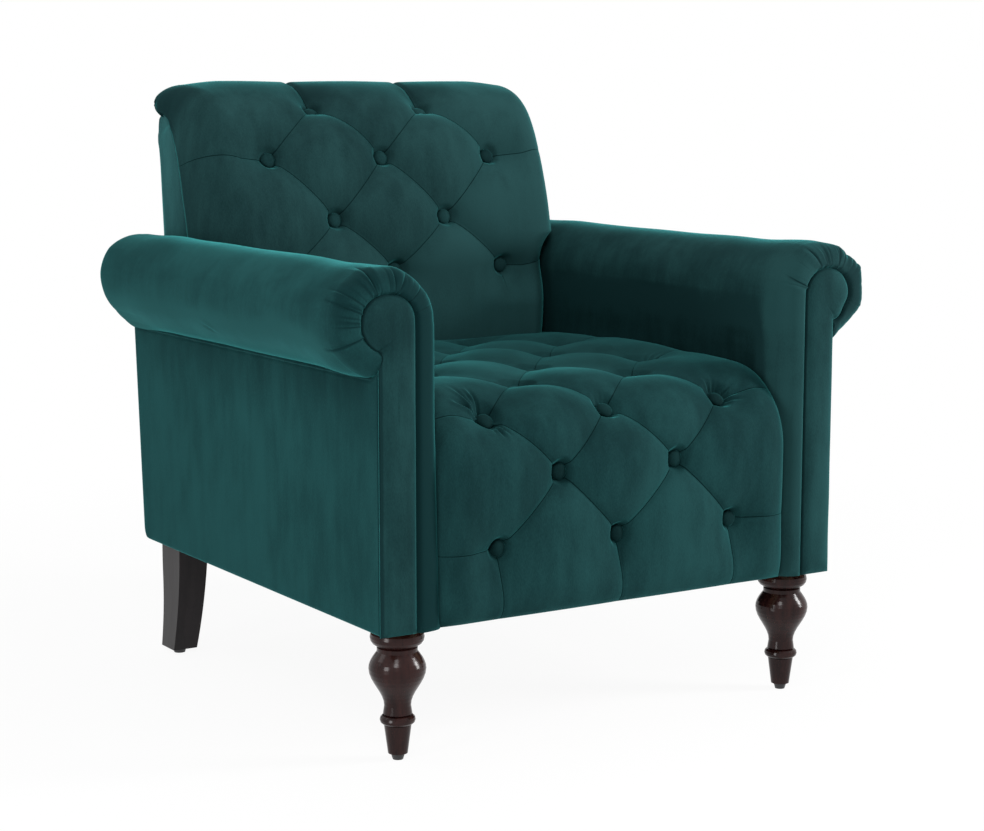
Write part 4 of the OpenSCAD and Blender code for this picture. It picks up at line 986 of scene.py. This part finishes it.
# ---------------------------------------- floor, light and camera

WHITE = (1, 1, 1, 1)
FLOOR_SIZE = 8.0
LAMP_AIM = (0, 0, 0.4)
# Place, size and power of each lamp
LAMPS = {"low_left": ((-2.6, -0.9, 0.75), (0.7, 1.2), 30),
         "key_right": ((2.3, -1.6, 1.3), (0.6, 1.3), 86),
         "top": ((0.0, 0.2, 2.6), (1.6, 1.6), 19),
         "front_left": ((-1.6, -2.2, 2.2), (0.7, 1.3), 34),
         "rear_left": ((-2.2, 1.0, 1.9), (1.0, 1.0), 6)}
# The camera as fitted to the photo
CAMERA_PLACE, CAMERA_TURN = (-1.59366, -2.59107, 0.81306), (-32.2843, 8.489)
PHOTO_WIDTH, FOCAL_PX, SENSOR = 984, 2200.46, 36.0


def path_flag(tree):
    """1 for rays that show the background: camera, glossy and transmission rays."""
    path = tree.nodes.new("ShaderNodeLightPath")
    both = math_node(tree, "MAXIMUM", path.outputs["Is Camera Ray"], path.outputs["Is Glossy Ray"])
    return math_node(tree, "MAXIMUM", both, path.outputs["Is Transmission Ray"])


def mix_output(tree, output, share, a, b):
    """Shader a, with b in its place by share, to the tree's output."""
    blend = tree.nodes.new("ShaderNodeMixShader")
    for i, v in enumerate([share, a, b]):
        tree.links.new(v, blend.inputs[i])
    tree.links.new(blend.outputs[0], tree.nodes[output].inputs["Surface"])


def build_floor():
    """A pale floor that looks white to the camera and still takes a soft shadow by the chair."""
    corners = [(-1, -1), (1, -1), (1, 1), (-1, 1)]
    mesh = bpy.data.meshes.new("studio_floor")
    mesh.from_pydata([(FLOOR_SIZE * x, FLOOR_SIZE * y, 0) for x, y in corners], [], [(0, 1, 2, 3)])
    floor = new_object("studio_floor", mesh)
    material, tree, bsdf = shader("floor_pale")
    set_inputs(bsdf, {"Base Color": (0.86, 0.86, 0.86, 1), "Roughness": 0.9})
    glow = add_node(tree, "ShaderNodeEmission", Strength=1.0, Color=WHITE)
    length = tree.nodes.new("ShaderNodeVectorMath")
    length.operation = "LENGTH"
    tree.links.new(object_coords(tree), length.inputs[0])
    share = map_range(tree, length.outputs["Value"], 0.6, 1.8, 0.93, 1.0)
    share = math_node(tree, "MULTIPLY", path_flag(tree), share)
    mix_output(tree, "Material Output", share, bsdf.outputs[0], glow.outputs[0])
    floor.data.materials.append(material)


def build_world():
    world = bpy.data.worlds.new("studio")
    bpy.context.scene.world = world
    world.use_nodes = True
    tree = world.node_tree
    dim = tree.nodes["Background"]
    set_inputs(dim, {"Color": WHITE, "Strength": 0.26})
    white = add_node(tree, "ShaderNodeBackground", Strength=1.0, Color=WHITE)
    mix_output(tree, "World Output", path_flag(tree), dim.outputs[0], white.outputs[0])


def aim(lamp, place, back):
    """Places a lamp or the camera, with its back towards a direction."""
    lamp.location, lamp.rotation_mode = place, "QUATERNION"
    lamp.rotation_quaternion = (-back).to_track_quat("-Z", "Y")


def build_lamps():
    for name, (place, size, power) in LAMPS.items():
        light = bpy.data.lights.new(name, "AREA")
        light.shape, light.energy = "RECTANGLE", power
        light.size, light.size_y = size
        aim(new_object(name, light), place, Vector(place) - Vector(LAMP_AIM))


def build_camera():
    azimuth, elevation = np.radians(CAMERA_TURN)
    back = Vector((math.sin(azimuth) * math.cos(elevation), -math.cos(azimuth) * math.cos(elevation),
                   math.sin(elevation)))
    data = bpy.data.cameras.new("photo_camera")
    data.sensor_fit, data.sensor_width = "HORIZONTAL", SENSOR
    data.lens = SENSOR * FOCAL_PX / PHOTO_WIDTH
    bpy.context.scene.camera = new_object("photo_camera", data)
    aim(bpy.context.scene.camera, CAMERA_PLACE, back)


build_floor()
build_world()
build_lamps()
build_camera()
bpy.context.scene.view_settings.view_transform = "Standard"
